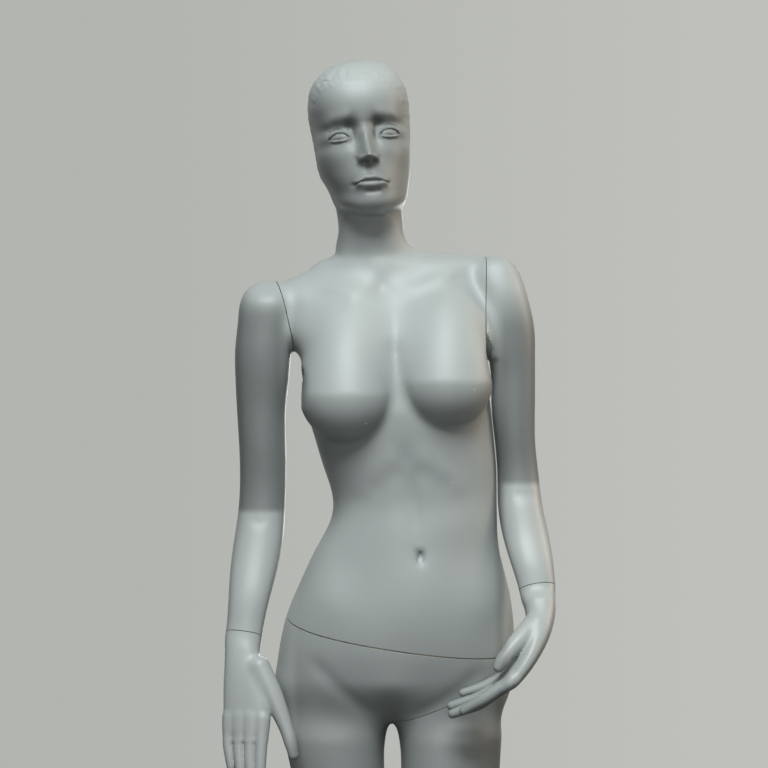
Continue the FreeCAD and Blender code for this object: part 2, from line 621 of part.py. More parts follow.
# A palm's rows: centre, direction of the hand, direction across it, half width, half thickness.
PALM = {
    "right": [((-214, -53, 986), (-0.132, -0.359, -0.924), (1, 0, 0), 24.3, 19.5),
              ((-214, -66, 955), (-0.05, -0.37, -0.93), (0.98, -0.15, 0), 25, 17),
              ((-209, -77, 925), (0.05, -0.34, -0.94), (0.96, -0.26, 0), 31, 16),
              ((-207, -87, 895), (0, -0.28, -0.96), (0.95, -0.30, 0), 33, 14.5),
              ((-207, -94, 868), (0, -0.2, -0.98), (0.95, -0.30, 0), 32.5, 12),
              ((-207, -97, 852), (0, -0.15, -0.99), (0.95, -0.30, 0), 29, 7)],
    "left": [((188.5, -64, 1051), (0.152, -0.447, -0.882), (1, 0, 0), 24.6, 19.5),
             ((193, -81, 1020), (0, -0.40, -0.92), (1, 0, 0), 21.5, 24),
             ((187, -98, 991), (-0.35, -0.33, -0.88), (0.9, 0, -0.35), 18, 30),
             ((171, -112, 960), (-0.6, -0.22, -0.77), (0.79, 0, -0.61), 14.5, 34),
             ((148, -122, 932), (-0.8, -0.1, -0.6), (0.6, 0, -0.8), 12.5, 34.5),
             ((136, -124, 922), (-0.86, 0, -0.5), (0.5, 0, -0.86), 7.5, 32)],
}
# A finger's rows: points from the palm to the tip, and its radius at each.
FINGERS = {
    "right": [[((-230, -86, 872), 8), ((-231, -92, 845), 7.8), ((-227, -98, 818), 6.8)],
              [((-215, -92, 872), 8.6), ((-216, -99, 835), 8.4), ((-212, -106, 793), 7.2)],
              [((-200, -97, 872), 8.8), ((-201, -104, 833), 8.6), ((-198, -111, 785), 7.3)],
              [((-184, -101, 872), 8.6), ((-186, -108, 836), 8.3), ((-188, -114, 795), 7.1)],
              [((-186, -80, 935), 14), ((-168, -92, 902), 13), ((-152, -100, 862), 10.5),
               ((-143, -102, 832), 8.5)]],
    "left": [[((150, -148, 934), 8.4), ((116, -149, 912), 8.2), ((90, -146, 896), 7)],
             [((150, -131, 932), 8.7), ((112, -132, 904), 8.4), ((76, -129, 889), 7)],
             [((150, -115, 932), 8.5), ((112, -115, 909), 8.1), ((75, -112, 896), 6.9)],
             [((150, -99.5, 936), 7.8), ((118, -100, 921), 7.3), ((90, -100, 913), 6.3)],
             [((180, -108, 1000), 14), ((158, -126, 982), 12.5), ((142, -136, 966), 10.5),
              ((134, -140, 955), 8.5)]],
}
NAILWARD = 0.55                     # how much of its radius a finger keeps at its rounded end


def oval(centre, direction, across, half_width, half_thick):
    frame = fitting_frame(centre, direction, across)
    edge = Part.Ellipse(V(0, 0, 0), max(half_width, half_thick), min(half_width, half_thick))
    wire = Part.Wire([edge.toShape()])
    if half_thick > half_width:
        wire.rotate(V(0, 0, 0), V(0, 0, 1), 90)
    points = wire.discretize(RING_POINTS + 1)[:RING_POINTS]
    start = min(range(RING_POINTS), key=lambda k: -points[k].x)
    points = [frame.multVec(points[(start + k) % RING_POINTS]) for k in range(RING_POINTS)]
    curve = Part.BSplineCurve()
    curve.interpolate(Points=points, PeriodicFlag=True,
                      Parameters=[k / RING_POINTS for k in range(RING_POINTS + 1)])
    return Part.Wire([curve.toShape()])


def finger(rows):
    """A finger: round sections along its bones, closed by a rounded tip."""
    points = [V(*point) for point, radius in rows]
    radii = [radius for point, radius in rows]
    tip_way = (points[-1] - points[-2]).normalize()
    points += [points[-1] + tip_way * 0.7 * radii[-1], points[-1] + tip_way * 0.98 * radii[-1]]
    radii += [radii[-1] * (NAILWARD + 0.15), radii[-1] * 0.2]
    rings = []
    for k, point in enumerate(points):
        way = points[min(k + 1, len(points) - 1)] - points[max(k - 1, 0)]
        rings.append(oval(tuple(point), tuple(way), (1, 0.2, 0.1), radii[k], radii[k] * 0.999))
    return Part.makeLoft(rings, True, True)


def hand(side):
    """Cast hand with the square spigot that plugs into the wrist hub."""
    start = WRIST[side].multVec(V(0, 0, HALF_GAP))
    rows = [(tuple(start),) + PALM[side][0][1:]] + PALM[side][1:]
    palm = Part.makeLoft([oval(*row) for row in rows], True, False)
    whole = palm
    for finger_rows in FINGERS[side]:
        whole = whole.fuse(finger(finger_rows))
    half = dim("wrist_spigot_side") / 2
    socket = Part.makeBox(2 * half, 2 * half, 60, V(-half, -half, -60 + dim("wrist_spigot_depth")))
    socket.Placement = WRIST[side]
    keep("hand_" + side, whole.cut(socket))
    spigot = body("hand_spigot_" + side, WRIST[side])
    drawn = sketch(spigot, "-dims.seam_gap / 2 - dims.wrist_plate_thick - dims.side_gap"
                           " - dims.wrist_keeper_thick")
    rectangle(drawn, "dims.wrist_spigot_side", "dims.wrist_spigot_side")
    pad(spigot, drawn, "dims.seam_gap / 2 + dims.wrist_plate_thick + dims.side_gap"
                       " + dims.wrist_keeper_thick + dims.wrist_spigot_depth")


# ---- make everything, check it, write it --------------------------------------------------

base()
support_rod()
lock_screw()
hanger(lower_body())
left_leg()
torso()
for side in ("right", "left"):
    shoulder_swivel(side)
    arm(side)
    wrist_swivel(side)
    hand(side)
doc.recompute()

for made in doc.Objects:
    if "Invalid" in made.State or "Error" in made.State:
        raise RuntimeError("%s failed: %s" % (made.Label, made.State))
os.makedirs("parts", exist_ok=True)
for part in SUB_PARTS:
    if part.Shape.isNull() or not part.Shape.isValid():
        raise RuntimeError(part.Label + " has no valid shape")
    part.Shape.exportStep("parts/%s.step" % part.Label)
    box = part.Shape.BoundBox
    print("%-24s %2d solids %10.1f mm3  x %.1f..%.1f  y %.1f..%.1f  z %.1f..%.1f"
          % (part.Label, len(part.Shape.Solids), part.Shape.Volume,
             box.XMin, box.XMax, box.YMin, box.YMax, box.ZMin, box.ZMax))
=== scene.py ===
"""Full body display mannequin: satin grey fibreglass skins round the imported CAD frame.

The figure faces -Y.  Its form is worked out in millimetres, as a field that is negative inside
the figure, and each skin is a mesh settled onto that field's surface.
"""
import json
from math import cos, pi, radians, sin

import bmesh
import bpy
import numpy as np
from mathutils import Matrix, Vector


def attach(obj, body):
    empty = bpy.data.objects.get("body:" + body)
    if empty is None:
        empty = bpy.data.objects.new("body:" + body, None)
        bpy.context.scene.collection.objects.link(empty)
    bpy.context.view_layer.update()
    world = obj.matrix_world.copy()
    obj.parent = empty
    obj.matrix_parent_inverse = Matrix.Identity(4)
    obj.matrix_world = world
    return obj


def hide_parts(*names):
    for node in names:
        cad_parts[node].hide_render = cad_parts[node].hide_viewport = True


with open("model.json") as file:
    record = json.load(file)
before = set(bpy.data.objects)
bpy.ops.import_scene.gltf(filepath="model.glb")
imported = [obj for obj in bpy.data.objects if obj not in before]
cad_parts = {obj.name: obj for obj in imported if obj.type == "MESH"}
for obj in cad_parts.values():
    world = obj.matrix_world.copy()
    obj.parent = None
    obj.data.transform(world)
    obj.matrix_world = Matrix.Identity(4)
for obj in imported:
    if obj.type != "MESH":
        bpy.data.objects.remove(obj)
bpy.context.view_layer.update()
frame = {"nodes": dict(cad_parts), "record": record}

# ---- figure paint -------------------------------------------------------------------------
# Sprayed two-part satin paint over gelcoat: cool grey with a trace of green and fine orange
# peel, chipped here and there. A painted highlight makes it paler from the elbows down, and painted
# shade darkens the face, upper arms, thighs and inner eye sockets.

PAINT_GREY = (0.30, 0.323, 0.315, 1)
# painted highlight: the forearms painted paler from the elbows down, as if lit from above
PAINT_FOREARM_HIGHLIGHT = (0.35, 0.37, 0.36, 1)
PAINT_SHADED = (0.125, 0.135, 0.131, 1)     # painted shade over the face, upper arms and thighs
PAINT_CHIP = (0.72, 0.72, 0.70, 1)
PAINT_SHADOW = (0.045, 0.046, 0.046, 1)     # painted shadow in the inner corners of the eye sockets and beside the nose
# How strongly the painted shade darkens the face, upper arms, thighs and inner eye sockets.
FACE_SHADE, ARM_SHADE, THIGH_SHADE, EYE_SHADE = 0.72, 0.78, 0.45, 0.62
# Oval patches: middle x and z, half width and half height, in millimetres.
# Painted shadow in the inner corners of the eye sockets and beside the nose.
PAINTED_SOCKET_SHADOWS = [(-66, 1683, 17, 11), (-30, 1688, 17, 11), (-61, 1671, 6, 13), (-33, 1674, 6, 13)]
CHIPS = [(65, 1335, 9, 2), (98, 1322, 5, 3), (-44, 1278, 3, 3), (76, 1194, 5, 2),
         (-117, 989, 9, 2)]
LIT_FOREARMS = [(-1, 1.153), (1, 1.192)]     # side, and the height where the painted highlight starts
LIT_FOREARM_EDGE = 0.006                         # half of its soft edge
CLOUD_SIZE, ORANGE_PEEL_SIZE, CHIP_SIZE = 0.11, 0.0016, 0.007
ORANGE_PEEL_DEPTH = 0.00005
PAINT_ROUGHNESS = 0.47


class Value:
    """A number socket that Python's operators work on."""

    def __init__(self, shader, socket):
        self.shader, self.socket = shader, socket

    def _maths(self, operation, *inputs):
        return Value(self.shader, self.shader.node("Math", {"operation": operation}, *inputs))

    def __add__(self, other):
        return self._maths("ADD", self, other)

    def __radd__(self, other):
        return self._maths("ADD", other, self)

    def __sub__(self, other):
        return self._maths("SUBTRACT", self, other)

    def __rsub__(self, other):
        return self._maths("SUBTRACT", other, self)

    def __mul__(self, other):
        return self._maths("MULTIPLY", self, other)

    def __rmul__(self, other):
        return self._maths("MULTIPLY", other, self)

    def above(self, low, high):
        """0 below low, 1 above high, and smooth between."""
        settings = {"interpolation_type": "SMOOTHSTEP"}
        return Value(self.shader, self.shader.node("MapRange", settings, self, low, high))


class Finish:
    """One material, with its nodes made through a single method."""

    def __init__(self, name, **constants):
        self.material = bpy.data.materials.new(name)
        self.material.use_nodes = True
        self.tree = self.material.node_tree
        self.surface = self.tree.nodes["Principled BSDF"]
        for socket, value in constants.items():
            self.surface.inputs[socket.replace("_", " ")].default_value = value
        self.place = self.node("TexCoord", {}, output="Object")

    def node(self, kind, settings, *inputs, output=0):
        made = self.tree.nodes.new("ShaderNode" + kind)
        for key, value in settings.items():
            setattr(made, key, value)
        for socket, value in zip([s for s in made.inputs if s.enabled], inputs):
            self.join(value, socket)
        return made.outputs[output]

    def join(self, value, socket):
        source = value.socket if isinstance(value, Value) else value
        if isinstance(source, bpy.types.NodeSocket):
            self.tree.links.new(source, socket)
        elif source is not None:
            socket.default_value = source

    def noise(self, size, detail=3.0, stretch=(1, 1, 1)):
        """Soft random value, whose features are about size metres across, over the stretch."""
        place = self.node("VectorMath", {"operation": "MULTIPLY"}, self.place, stretch)
        return Value(self, self.node("TexNoise", {}, place, 1 / size, detail))

    def axis(self, letter):
        split = self.node("SeparateXYZ", {}, self.place, output="XYZ".index(letter))
        return Value(self, split)

    def mixed(self, amount, first, second):
        return self.node("MixRGB", {}, amount, first, second)

    def feed(self, name, value):
        self.join(value, self.surface.inputs[name])

    def bumped(self, height, depth):
        """Fine relief from a height value; depth is in metres."""
        made = self.tree.nodes.new("ShaderNodeBump")
        made.inputs["Strength"].default_value = 1.0
        made.inputs["Distance"].default_value = depth
        self.join(height, made.inputs["Height"])
        self.tree.links.new(made.outputs[0], self.surface.inputs["Normal"])


def away_from(paint, x, z, half_wide, half_tall):
    """Distance from an oval patch's middle on the front, 1 at its edge."""
    place = paint.node("VectorMath", {"operation": "SUBTRACT"}, paint.place,
                       (x / 1000, 0, z / 1000))
    place = paint.node("VectorMath", {"operation": "MULTIPLY"}, place,
                       (1000 / half_wide, 0, 1000 / half_tall))
    return Value(paint, paint.node("VectorMath", {"operation": "LENGTH"}, place, output=1))


def figure_paint():
    paint = Finish("figure_paint", Specular_IOR_Level=0.42)
    cloud = paint.noise(CLOUD_SIZE)
    grain = paint.noise(ORANGE_PEEL_SIZE, 2.0)
    speck = paint.noise(CHIP_SIZE, 4.0)
    across, depth, height = paint.axis("X"), paint.axis("Y"), paint.axis("Z")
    # Painted highlight: from the elbows down the forearms are painted paler, where the light falls on
    # them, and made a little less rough.
    forearm_light = 0.0
    for side, start in LIT_FOREARMS:
        below = 1 - height.above(start - LIT_FOREARM_EDGE, start + LIT_FOREARM_EDGE)
        forearm_light = (across * side).above(0.135, 0.150) * below + forearm_light
    tone = paint.mixed(cloud.above(0.35, 0.7) * 0.25 + forearm_light * 0.7, PAINT_GREY, PAINT_FOREARM_HIGHLIGHT)
    # Painted shade: the face, the upper arms and the thighs are darkened towards PAINT_SHADED.
    on_face = (height.above(1.545, 1.600) * (1 - height.above(1.690, 1.765))
               * (1 - depth.above(-0.070, -0.020)))
    on_arms = (across.above(0.128, 0.150) + (1 - across.above(-0.170, -0.150))) * (
        1 - height.above(1.400, 1.470)) * (1 - forearm_light)
    on_hips = 1 - height.above(0.86, 1.02)
    shade = (on_face * FACE_SHADE + on_arms * ARM_SHADE
             + on_hips * (1 - forearm_light) * (1 - on_arms) * THIGH_SHADE)
    tone = paint.mixed(shade, tone, PAINT_SHADED)
    # Painted shadow: the inner corners of the eye sockets and the sides of the nose are darkened
    # towards PAINT_SHADOW.
    shadowed = 0.0
    for patch in PAINTED_SOCKET_SHADOWS:
        shadowed = (1 - away_from(paint, *patch).above(0.1, 1.0)) * EYE_SHADE + shadowed
    tone = paint.mixed(shadowed * on_face, tone, PAINT_SHADOW)
    chipped = 0.0
    for patch in CHIPS:
        inside = 1 - away_from(paint, *patch).above(0.6, 1.0)
        chipped = inside * speck.above(0.60, 0.63) + chipped
    front = 1 - depth.above(-0.06, -0.04)
    paint.feed("Base Color", paint.mixed(chipped * front, tone, PAINT_CHIP))
    paint.feed("Roughness", PAINT_ROUGHNESS + cloud * 0.08 - forearm_light * 0.08)
    paint.bumped(grain, ORANGE_PEEL_DEPTH)
    return paint.material


paint = figure_paint()

# ---- torso and head -----------------------------------------------------------------------
# One hollow fibreglass casting from the waist seam to the crown, laid up in a plaster mould and
# sanded smooth, with a modelled face and combed-back hair.  It is open at the waist and at
# both shoulders, where a wooden plate closes it.

SKIN = 3.0                  # wall that shows round an open seam
SEAM = 0.5                  # half of a seam's gap
WAIST_SEAM = 0.9            # the same at the waist, worn by lifting the torso off
LIP = 3.0                   # depth of the skin's inside that is modelled behind a seam
SQUARENESS = 2.3            # 2 is an ellipse
MM = 0.001

# Level sections: height, centre x, centre y, half width, depth to the front, to the back.
TRUNK = [
    (830, -8, 12, 116, 52, 60), (862, -8, 8, 146, 71, 80), (900, -8, 0, 165, 79, 108),
    (930, -5, 0, 166, 86, 117), (974, -1, 0, 163, 92, 106), (1016, 3, 0, 156, 93, 86),
    (1058, 8, 0, 143, 89, 66), (1100, 13, 0, 128, 84, 50), (1142, 22, 0, 116, 79, 50),
    (1170, 23, 0, 114.5, 77, 58), (1210, 17, 0, 120, 83, 70), (1254, 8.5, 0, 125, 91, 84),
    (1310, -1, 0, 128.5, 97, 94), (1366, -5, 0, 131, 88, 99), (1400, -11, 0, 148, 76, 97),
    (1436, -16, 2, 156, 60, 88), (1466, -18, 6, 156, 46, 70), (1490, 8, 10, 134, 38, 56),
    (1505, 14, 14, 116, 30, 44), (1512.5, 15, 16, 84, 16, 28),
]
NECK = [
    (1462, -27, 14, 64, 48, 54), (1490, -31, 14, 57, 45, 52), (1515, -36, 10, 49, 44, 50),
    (1545, -38, 5, 45.5, 45, 50), (1580, -42, 5, 46, 50, 54), (1615, -46, 6, 48, 52, 58),
]
HEAD = [
    (1565, -40, -44, 24, 38, 36), (1574, -40, -28, 40, 62, 48), (1590, -40, -10, 52, 84, 54),
    (1604, -43, -4, 57, 92, 58), (1618, -46, 0, 62, 95, 62), (1646, -49, 0, 66, 93, 74),
    (1674, -52, 0, 68, 89, 88), (1702, -55, 0, 70.4, 92.5, 92), (1724, -56, 0, 69.7, 91.5, 90),
    (1744, -56, 1, 65, 84, 81), (1757.5, -55, 3, 57, 72, 70), (1769, -53, 5, 46, 55, 55),
    (1777.5, -50, 7, 31, 36, 37), (1783.5, -49, 9, 13, 15, 16),
]
RIGHT_ARM = [
    (1474, -180, 0, 9, 8, 8), (1468, -181, 0, 22, 20, 20), (1456, -182, 0, 34, 38, 38),
    (1420, -184.5, 0, 39.5, 47, 46), (1380, -189, 0, 39, 46, 46), (1340, -190.5, 2, 37.5, 43, 43),
    (1300, -192, 8, 34.5, 41, 41), (1240, -190.5, 12, 32.7, 38, 38),
    (1180, -190.5, 14, 32.2, 35, 36), (1150, -192, 12, 32.8, 36, 36),
    (1110, -196, 0, 34, 35, 36), (1070, -201.5, -18, 32.3, 32, 33),
    (1034, -206.5, -36, 28.5, 27, 27), (1000, -211, -48, 25.5, 21, 21),
    (960, -216, -62, 25, 18, 18), (930, -219, -72, 25, 17, 17),
]
LEFT_ARM = [
    (1510, 134, 3, 9, 9, 9), (1504, 135, 3, 19, 24, 24), (1490, 136, 2, 31, 37, 37),
    (1465, 141, 1, 36, 44, 44), (1436, 147, 1, 38, 46, 46), (1400, 152.5, 2, 38.5, 45, 45),
    (1375, 156, 3, 35.5, 43, 43), (1350, 160, 5, 31.5, 41, 41), (1310, 161, 7, 30.5, 39, 39),
    (1250, 163.8, 10, 28.2, 37, 37), (1200, 168.2, 10, 29, 36, 36), (1160, 170.7, -2, 31, 36, 36),
    (1120, 177, -20, 32, 33, 34), (1085, 183.8, -42, 29.5, 28, 29),
    (1046, 190.5, -62, 25, 21, 21), (1020, 193.5, -76, 23.5, 19, 19), (990, 196, -90, 23, 18, 18),
]


class Seam:
    """A saw cut: a point on it and its outward direction."""

    def __init__(self, point, normal):
        self.point = np.array(point, float)
        self.normal = np.array(normal, float) / np.linalg.norm(normal)

    def height(self, p):
        return (p - self.point) @ self.normal

    def reach(self, p):
        """Distance from the line through the point along the normal."""
        return np.linalg.norm((p - self.point) - np.outer(self.height(p), self.normal), axis=1)


WAIST = Seam((5, 5, 985.2), (0.146, -0.194, 0.970))
SHOULDER = {"right": Seam((-158.1, 2, 1415), (-0.962, -0.154, -0.226)),
            "left": Seam((120.8, 3, 1440), (1, 0, -0.02))}
SHOULDER_FACE = {"right": 72, "left": 78}       # radius of the round joint face
ARM_STANDOFF = {"right": 0, "left": 8.4}        # arm's distance from the flank below its face
ARMPIT = {"right": 1346, "left": 1368}
SHOULDER_FILLET = 17
WELL_AWAY = 60              # added to a field where it must not be joined


def ramp(x, low, high):
    """0 below low, 1 above high, and smooth between."""
    t = np.clip((x - low) / (high - low), 0, 1)
    return t * t * (3 - 2 * t)


def blend(a, b, width):
    """The union of two fields, filleted over that width."""
    mix = np.clip(0.5 + 0.5 * (b - a) / width, 0, 1)
    return b + (a - b) * mix - width * mix * (1 - mix)


def trim(a, b, width):
    """What two fields share, with its edge rounded over that width."""
    return -blend(-a, -b, width)


class Sections:
    """A form through level sections, as a field."""

    def __init__(self, rows, end_round=4.0):
        rows = np.array(sorted(rows), float)
        self.levels, self.values, self.end_round = rows[:, 0], rows[:, 1:], end_round
        count, step = len(rows), np.diff(rows[:, 0])
        system, right = np.eye(count), np.zeros((count, 5))
        for k in range(1, count - 1):
            system[k, k - 1:k + 2] = step[k - 1], 2 * (step[k - 1] + step[k]), step[k]
            right[k] = 6 * ((self.values[k + 1] - self.values[k]) / step[k]
                            - (self.values[k] - self.values[k - 1]) / step[k - 1])
        self.bends = np.linalg.solve(system, right)

    def at(self, z):
        """The sections' five numbers at heights z, on a natural cubic spline."""
        k = np.clip(np.searchsorted(self.levels, z) - 1, 0, len(self.levels) - 2)
        step = self.levels[k + 1] - self.levels[k]
        b = ((z - self.levels[k]) / step)[:, None]
        a = 1 - b
        curve = (a ** 3 - a) * self.bends[k] + (b ** 3 - b) * self.bends[k + 1]
        return (a * self.values[k] + b * self.values[k + 1] + curve * (step ** 2)[:, None] / 6).T

    def __call__(self, p):
        low, high = self.levels[0], self.levels[-1]
        cx, cy, half_width, front, back = self.at(np.clip(p[:, 2], low, high))
        dx, dy = p[:, 0] - cx + 1e-6, p[:, 1] - cy
        depth = np.where(dy < 0, front, back)
        q = ((np.abs(dx) / half_width) ** SQUARENESS
             + (np.abs(dy) / depth) ** SQUARENESS) ** (1 / SQUARENESS)
        side = np.hypot(dx, dy) * (1 - 1 / q)
        return trim(side, np.maximum(p[:, 2] - high, low - p[:, 2]), self.end_round)


def egg(p, centre, radii, lean=0.0):
    """An ellipsoid as a field; lean turns it about the Y axis, in degrees."""
    offset = p - np.array(centre, float)
    c, s = cos(radians(lean)), sin(radians(lean))
    offset = np.stack([offset[:, 0] * c - offset[:, 2] * s, offset[:, 1],
                       offset[:, 0] * s + offset[:, 2] * c], 1) / np.array(radii, float)
    size = np.linalg.norm(offset, axis=1) + 1e-9
    return (size - 1) * np.linalg.norm(offset * np.array(radii), axis=1) / size


class Marks:
    """Soft ridges (height above 0) and dents drawn on a form in two coordinates."""

    def __init__(self):
        self.made = []

    def spot(self, a, b, size_a, size_b, height, turn=0.0):
        c, s = cos(radians(turn)), sin(radians(turn))

        def relief(u, v):
            du, dv = u - a, v - b
            return height * np.exp(-0.5 * (((du * c + dv * s) / size_a) ** 2
                                           + ((dv * c - du * s) / size_b) ** 2))
        self.made.append(((a, b, 3.2 * max(size_a, size_b)), relief))

    def line(self, points, width, height, fade=True):
        points = np.array(points, float)
        runs = np.diff(points, axis=0)
        lengths = np.hypot(*runs.T)
        starts = np.concatenate([[0], np.cumsum(lengths)])[:-1]

        def relief(u, v):
            nearest, along = np.full(len(u), 1e9), np.zeros(len(u))
            for start, run, length, before in zip(points, runs, lengths, starts):
                t = np.clip(((u - start[0]) * run[0] + (v - start[1]) * run[1]) / length ** 2, 0, 1)
                away = np.hypot(u - start[0] - t * run[0], v - start[1] - t * run[1])
                closer = away < nearest
                nearest = np.where(closer, away, nearest)
                along = np.where(closer, (before + t * length) / lengths.sum(), along)
            taper = ramp(along, 0, 0.25) * ramp(1 - along, 0, 0.25) if fade else 1.0
            return height * taper * np.exp(-0.5 * (nearest / width) ** 2)
        centre = (points.min(0) + points.max(0)) / 2
        reach = np.hypot(*(points.max(0) - points.min(0))) / 2 + 3.2 * width
        self.made.append(((centre[0], centre[1], reach), relief))

    def __call__(self, u, v, where):
        """Height at each point, worked out only where the mask is above 0."""
        total = np.zeros(len(u))
        for (a, b, reach), relief in self.made:
            near = np.flatnonzero((where > 0) & (np.abs(u - a) < reach) & (np.abs(v - b) < reach))
            if len(near):
                total[near] += relief(u[near], v[near])
        return total * where


# The face's own frame: u to the figure's left, v forward, w up, tilted and turned a little.
FACE_AT = np.array([-46.6, -82.0, 1670.8])
FACE_TURN, FACE_TILT = radians(4.5), radians(6)
FACE_V = np.array([sin(FACE_TURN), -cos(FACE_TURN), 0])
FACE_W = np.array([-sin(FACE_TILT), 0, cos(FACE_TILT)])
FACE_U = np.cross(FACE_W, FACE_V)
FACE_U /= np.linalg.norm(FACE_U)
EYE_SPREAD = 35.5
EYE_INNER, EYE_OUTER = 15.0, 14.5       # from the iris to the corners of the opening
EYE_DEPTH = 3.0                         # of the eyeball behind the lids
MOUTH_U = 4.5                           # middle of the mouth
NOSE_U = 0.8                            # middle of the nose's ridge
HAIR_STEP = 0.6

face = Marks()
for side in (-1, 1):
    eye = side * EYE_SPREAD
    face.line([(side * 13, 20), (side * 26, 26), (side * 43, 24), (side * 56, 13)], 6, 2.0)
    face.spot(side * 31, 11.5, 14, 5.5, -5.5)
    face.spot(side * 19, 11, 6, 8, -4.6)
    face.spot(side * 15.0, 2, 5.0, 13, -5.8)
    face.spot(side * 33, -9, 19, 7, -3.2)
    face.spot(eye, -1.5, 13.2, 6.0, 6.0)
    face.spot(side * 45, -25, 17, 12, 2.6, side * 20)
    face.spot(side * 37, -62, 12, 20, -3.0)
    face.spot(side * 62, 18, 9, 18, -2.5)
    face.spot(side * 21, -34, 9, 10, -1.4)
    # lids: the crease above, the band over the lashes and the rim below
    face.line([(eye - side * 17, -1.5), (eye - side * 11, 6.2), (eye, 9.6), (eye + side * 11, 7.0),
               (eye + side * 18, -3.0)], 1.3, -1.7)
    face.line([(eye - side * 15, -1.5), (eye - side * 9, 4.4), (eye, 6.8), (eye + side * 10, 4.6),
               (eye + side * 17, -4.0)], 1.4, 1.3)
    face.line([(eye - side * 14, -5.0), (eye, -7.4), (eye + side * 14, -5.2)], 1.2, 1.0)
    face.line([(eye - side * 13, -8.4), (eye, -10.6), (eye + side * 12, -8.6)], 1.9, -1.2)
# nose: wings and nostrils
for side, wing, nostril in ((-1, -9.8, -5.8), (1, 11.6, 7.6)):
    face.spot(wing, -35.5, 3.7, 4.2, 8.5)
    face.spot(nostril, -39.6, 2.6, 1.6, -6.0, -side * 20)
    face.line([(wing + side * 4.6, -31), (wing + side * 5.6, -36), (wing + side * 4, -40)], 1.8, -2.0)
face.spot(1.8, -31.5, 5.0, 5.0, 2.4)
face.spot(1.8, -40.5, 1.8, 2.4, 2.6)
# mouth: the muzzle, both lips, the parting between them and the hollow under them
face.spot(MOUTH_U, -61, 21, 15, 5.5)
for points, width, height in (
        ([(-5, -45), (-4.6, -55)], 2.4, -1.1),
        ([(-24, -66.5), (-17, -62.6), (-10.5, -60.2), (-4.4, -61.0), (2, -60.2), (10, -62.8),
          (18, -67.6)], 2.5, 2.8),
        ([(-20, -69.2), (-13, -71.2), (-3, -72.0), (7, -71.6), (15, -70.0)], 3.7, 4.0),
        ([(-25.5, -68.8), (-17, -66.2), (-9, -65.4), (0, -65.9), (9, -66.8), (20, -69.8)], 1.0, -3.4)):
    face.line([(MOUTH_U + u, w) for u, w in points], width, height, fade=False)
face.spot(MOUTH_U - 26.5, -69.2, 3.0, 2.6, -2.2)
face.spot(MOUTH_U + 21, -70.0, 3.0, 2.6, -2.2)
face.line([(MOUTH_U - 15, -78.6), (MOUTH_U, -80.0), (MOUTH_U + 12, -78.8)], 2.8, -2.4)
face.spot(MOUTH_U + 2, -98, 18, 12, 4.0)
# hair: cowlick, combed strands from the forehead, and the edge at the temple
face.line([(-6, 103), (-12, 96), (-15, 88), (-17, 78)], 1.5, -1.5)
face.line([(-55, 74), (-47, 79), (-36, 77)], 1.4, -1.4)
for start_u, start_w, end_u, end_w, height in (
        (-52, 69, -30, 94, 0.8), (-40, 73, -22, 98, -0.7), (-27, 76, -14, 101, 0.8),
        (-2, 78, -5, 103, -0.7), (8, 77, 4, 101, 0.9), (18, 77, 16, 97, -0.9),
        (29, 74, 29, 92, 0.8), (40, 70, 42, 84, -0.7), (-46, 84, -34, 95, -0.7)):
    face.line([(start_u, start_w), ((start_u + end_u) / 2 - 3, (start_w + end_w) / 2 + 1),
               (end_u, end_w)], 2.0, height)

NOSE_RIDGE = np.array([          # w, height, half breadth
    (16, 0, 10), (8, 1.8, 7.0), (0, 6.5, 6.0), (-10, 11, 6.2), (-20, 16.5, 6.8), (-28, 21.5, 7.4),
    (-33, 22.5, 7.8), (-36.5, 17.5, 8.0), (-39, 9, 8.0), (-41, 2.5, 8.0), (-44, 0, 9)],
    float)[::-1]


def face_relief(p):
    """How far the face and hair stand out from the plain head, in millimetres."""
    local = p - FACE_AT
    u, v, w = local @ FACE_U, local @ FACE_V, local @ FACE_W
    front = ramp(v, -72, -38)
    relief = face(u, w, front)
    ridge_height = np.interp(w, NOSE_RIDGE[:, 0], NOSE_RIDGE[:, 1])
    ridge_breadth = np.interp(w, NOSE_RIDGE[:, 0], NOSE_RIDGE[:, 2])
    relief += front * ridge_height * np.exp(-0.6 * np.abs((u - NOSE_U) / ridge_breadth) ** 2.2)
    for side in (-1, 1):
        eye = side * EYE_SPREAD
        across = (u - eye) * side
        t = np.where(across < 0, across / EYE_INNER, across / EYE_OUTER)
        arch = np.clip(1 - np.abs(t) ** 2.2, -0.6, 1)
        upper = -2.9 + 7.4 * arch
        lower = -3.1 - 2.9 * arch
        opening = ramp(np.minimum(upper - w, w - lower), -0.35, 0.75) * (np.abs(t) < 1.25)
        ring = np.hypot(u - eye, w - 0.2)
        iris = (0.30 * np.exp(-0.5 * ((ring - 3.1) / 0.55) ** 2)
                - 0.42 * np.exp(-0.5 * ((ring - 4.3) / 0.40) ** 2)
                + 0.35 * np.exp(-0.5 * (ring / 0.75) ** 2)
                - 0.35 * np.exp(-0.5 * ((ring - 1.8) / 0.5) ** 2))
        relief += front * opening * (iris - EYE_DEPTH)
    # hair cap: a step at the hairline, then combed lines running back over the skull
    hairline = np.interp(u, [-75, -62, -50, -14, 34, 54, 68], [-10, 52, 66, 71, 68, 58, -10])
    beside = np.abs(u + 4) - np.interp(w, [-70, -30, 20, 50], [64, 62, 61, 58])
    on_hair = np.where(v > -45, ramp(w - hairline, -2.5, 2.5),
                       ramp(-v - 62 + 0.25 * w, -4, 4) * ramp(w, -62, -48))
    on_hair = np.maximum(on_hair, ramp(beside, 0, 6) * ramp(w, 2, 14))
    back = np.clip(-v - 80, -90, 90)
    turn = np.arctan2(w - 4, u + 6) + 0.0016 * back
    comb = (0.20 * np.sin(31 * turn + 0.6 * np.sin(0.03 * back))
            + 0.13 * np.sin(57 * turn + 1.3 + 0.8 * np.sin(0.021 * back)))
    spread = ramp(np.hypot(u + 6, w - 4), 22, 52)
    return relief + on_hair * (HAIR_STEP + comb * spread)


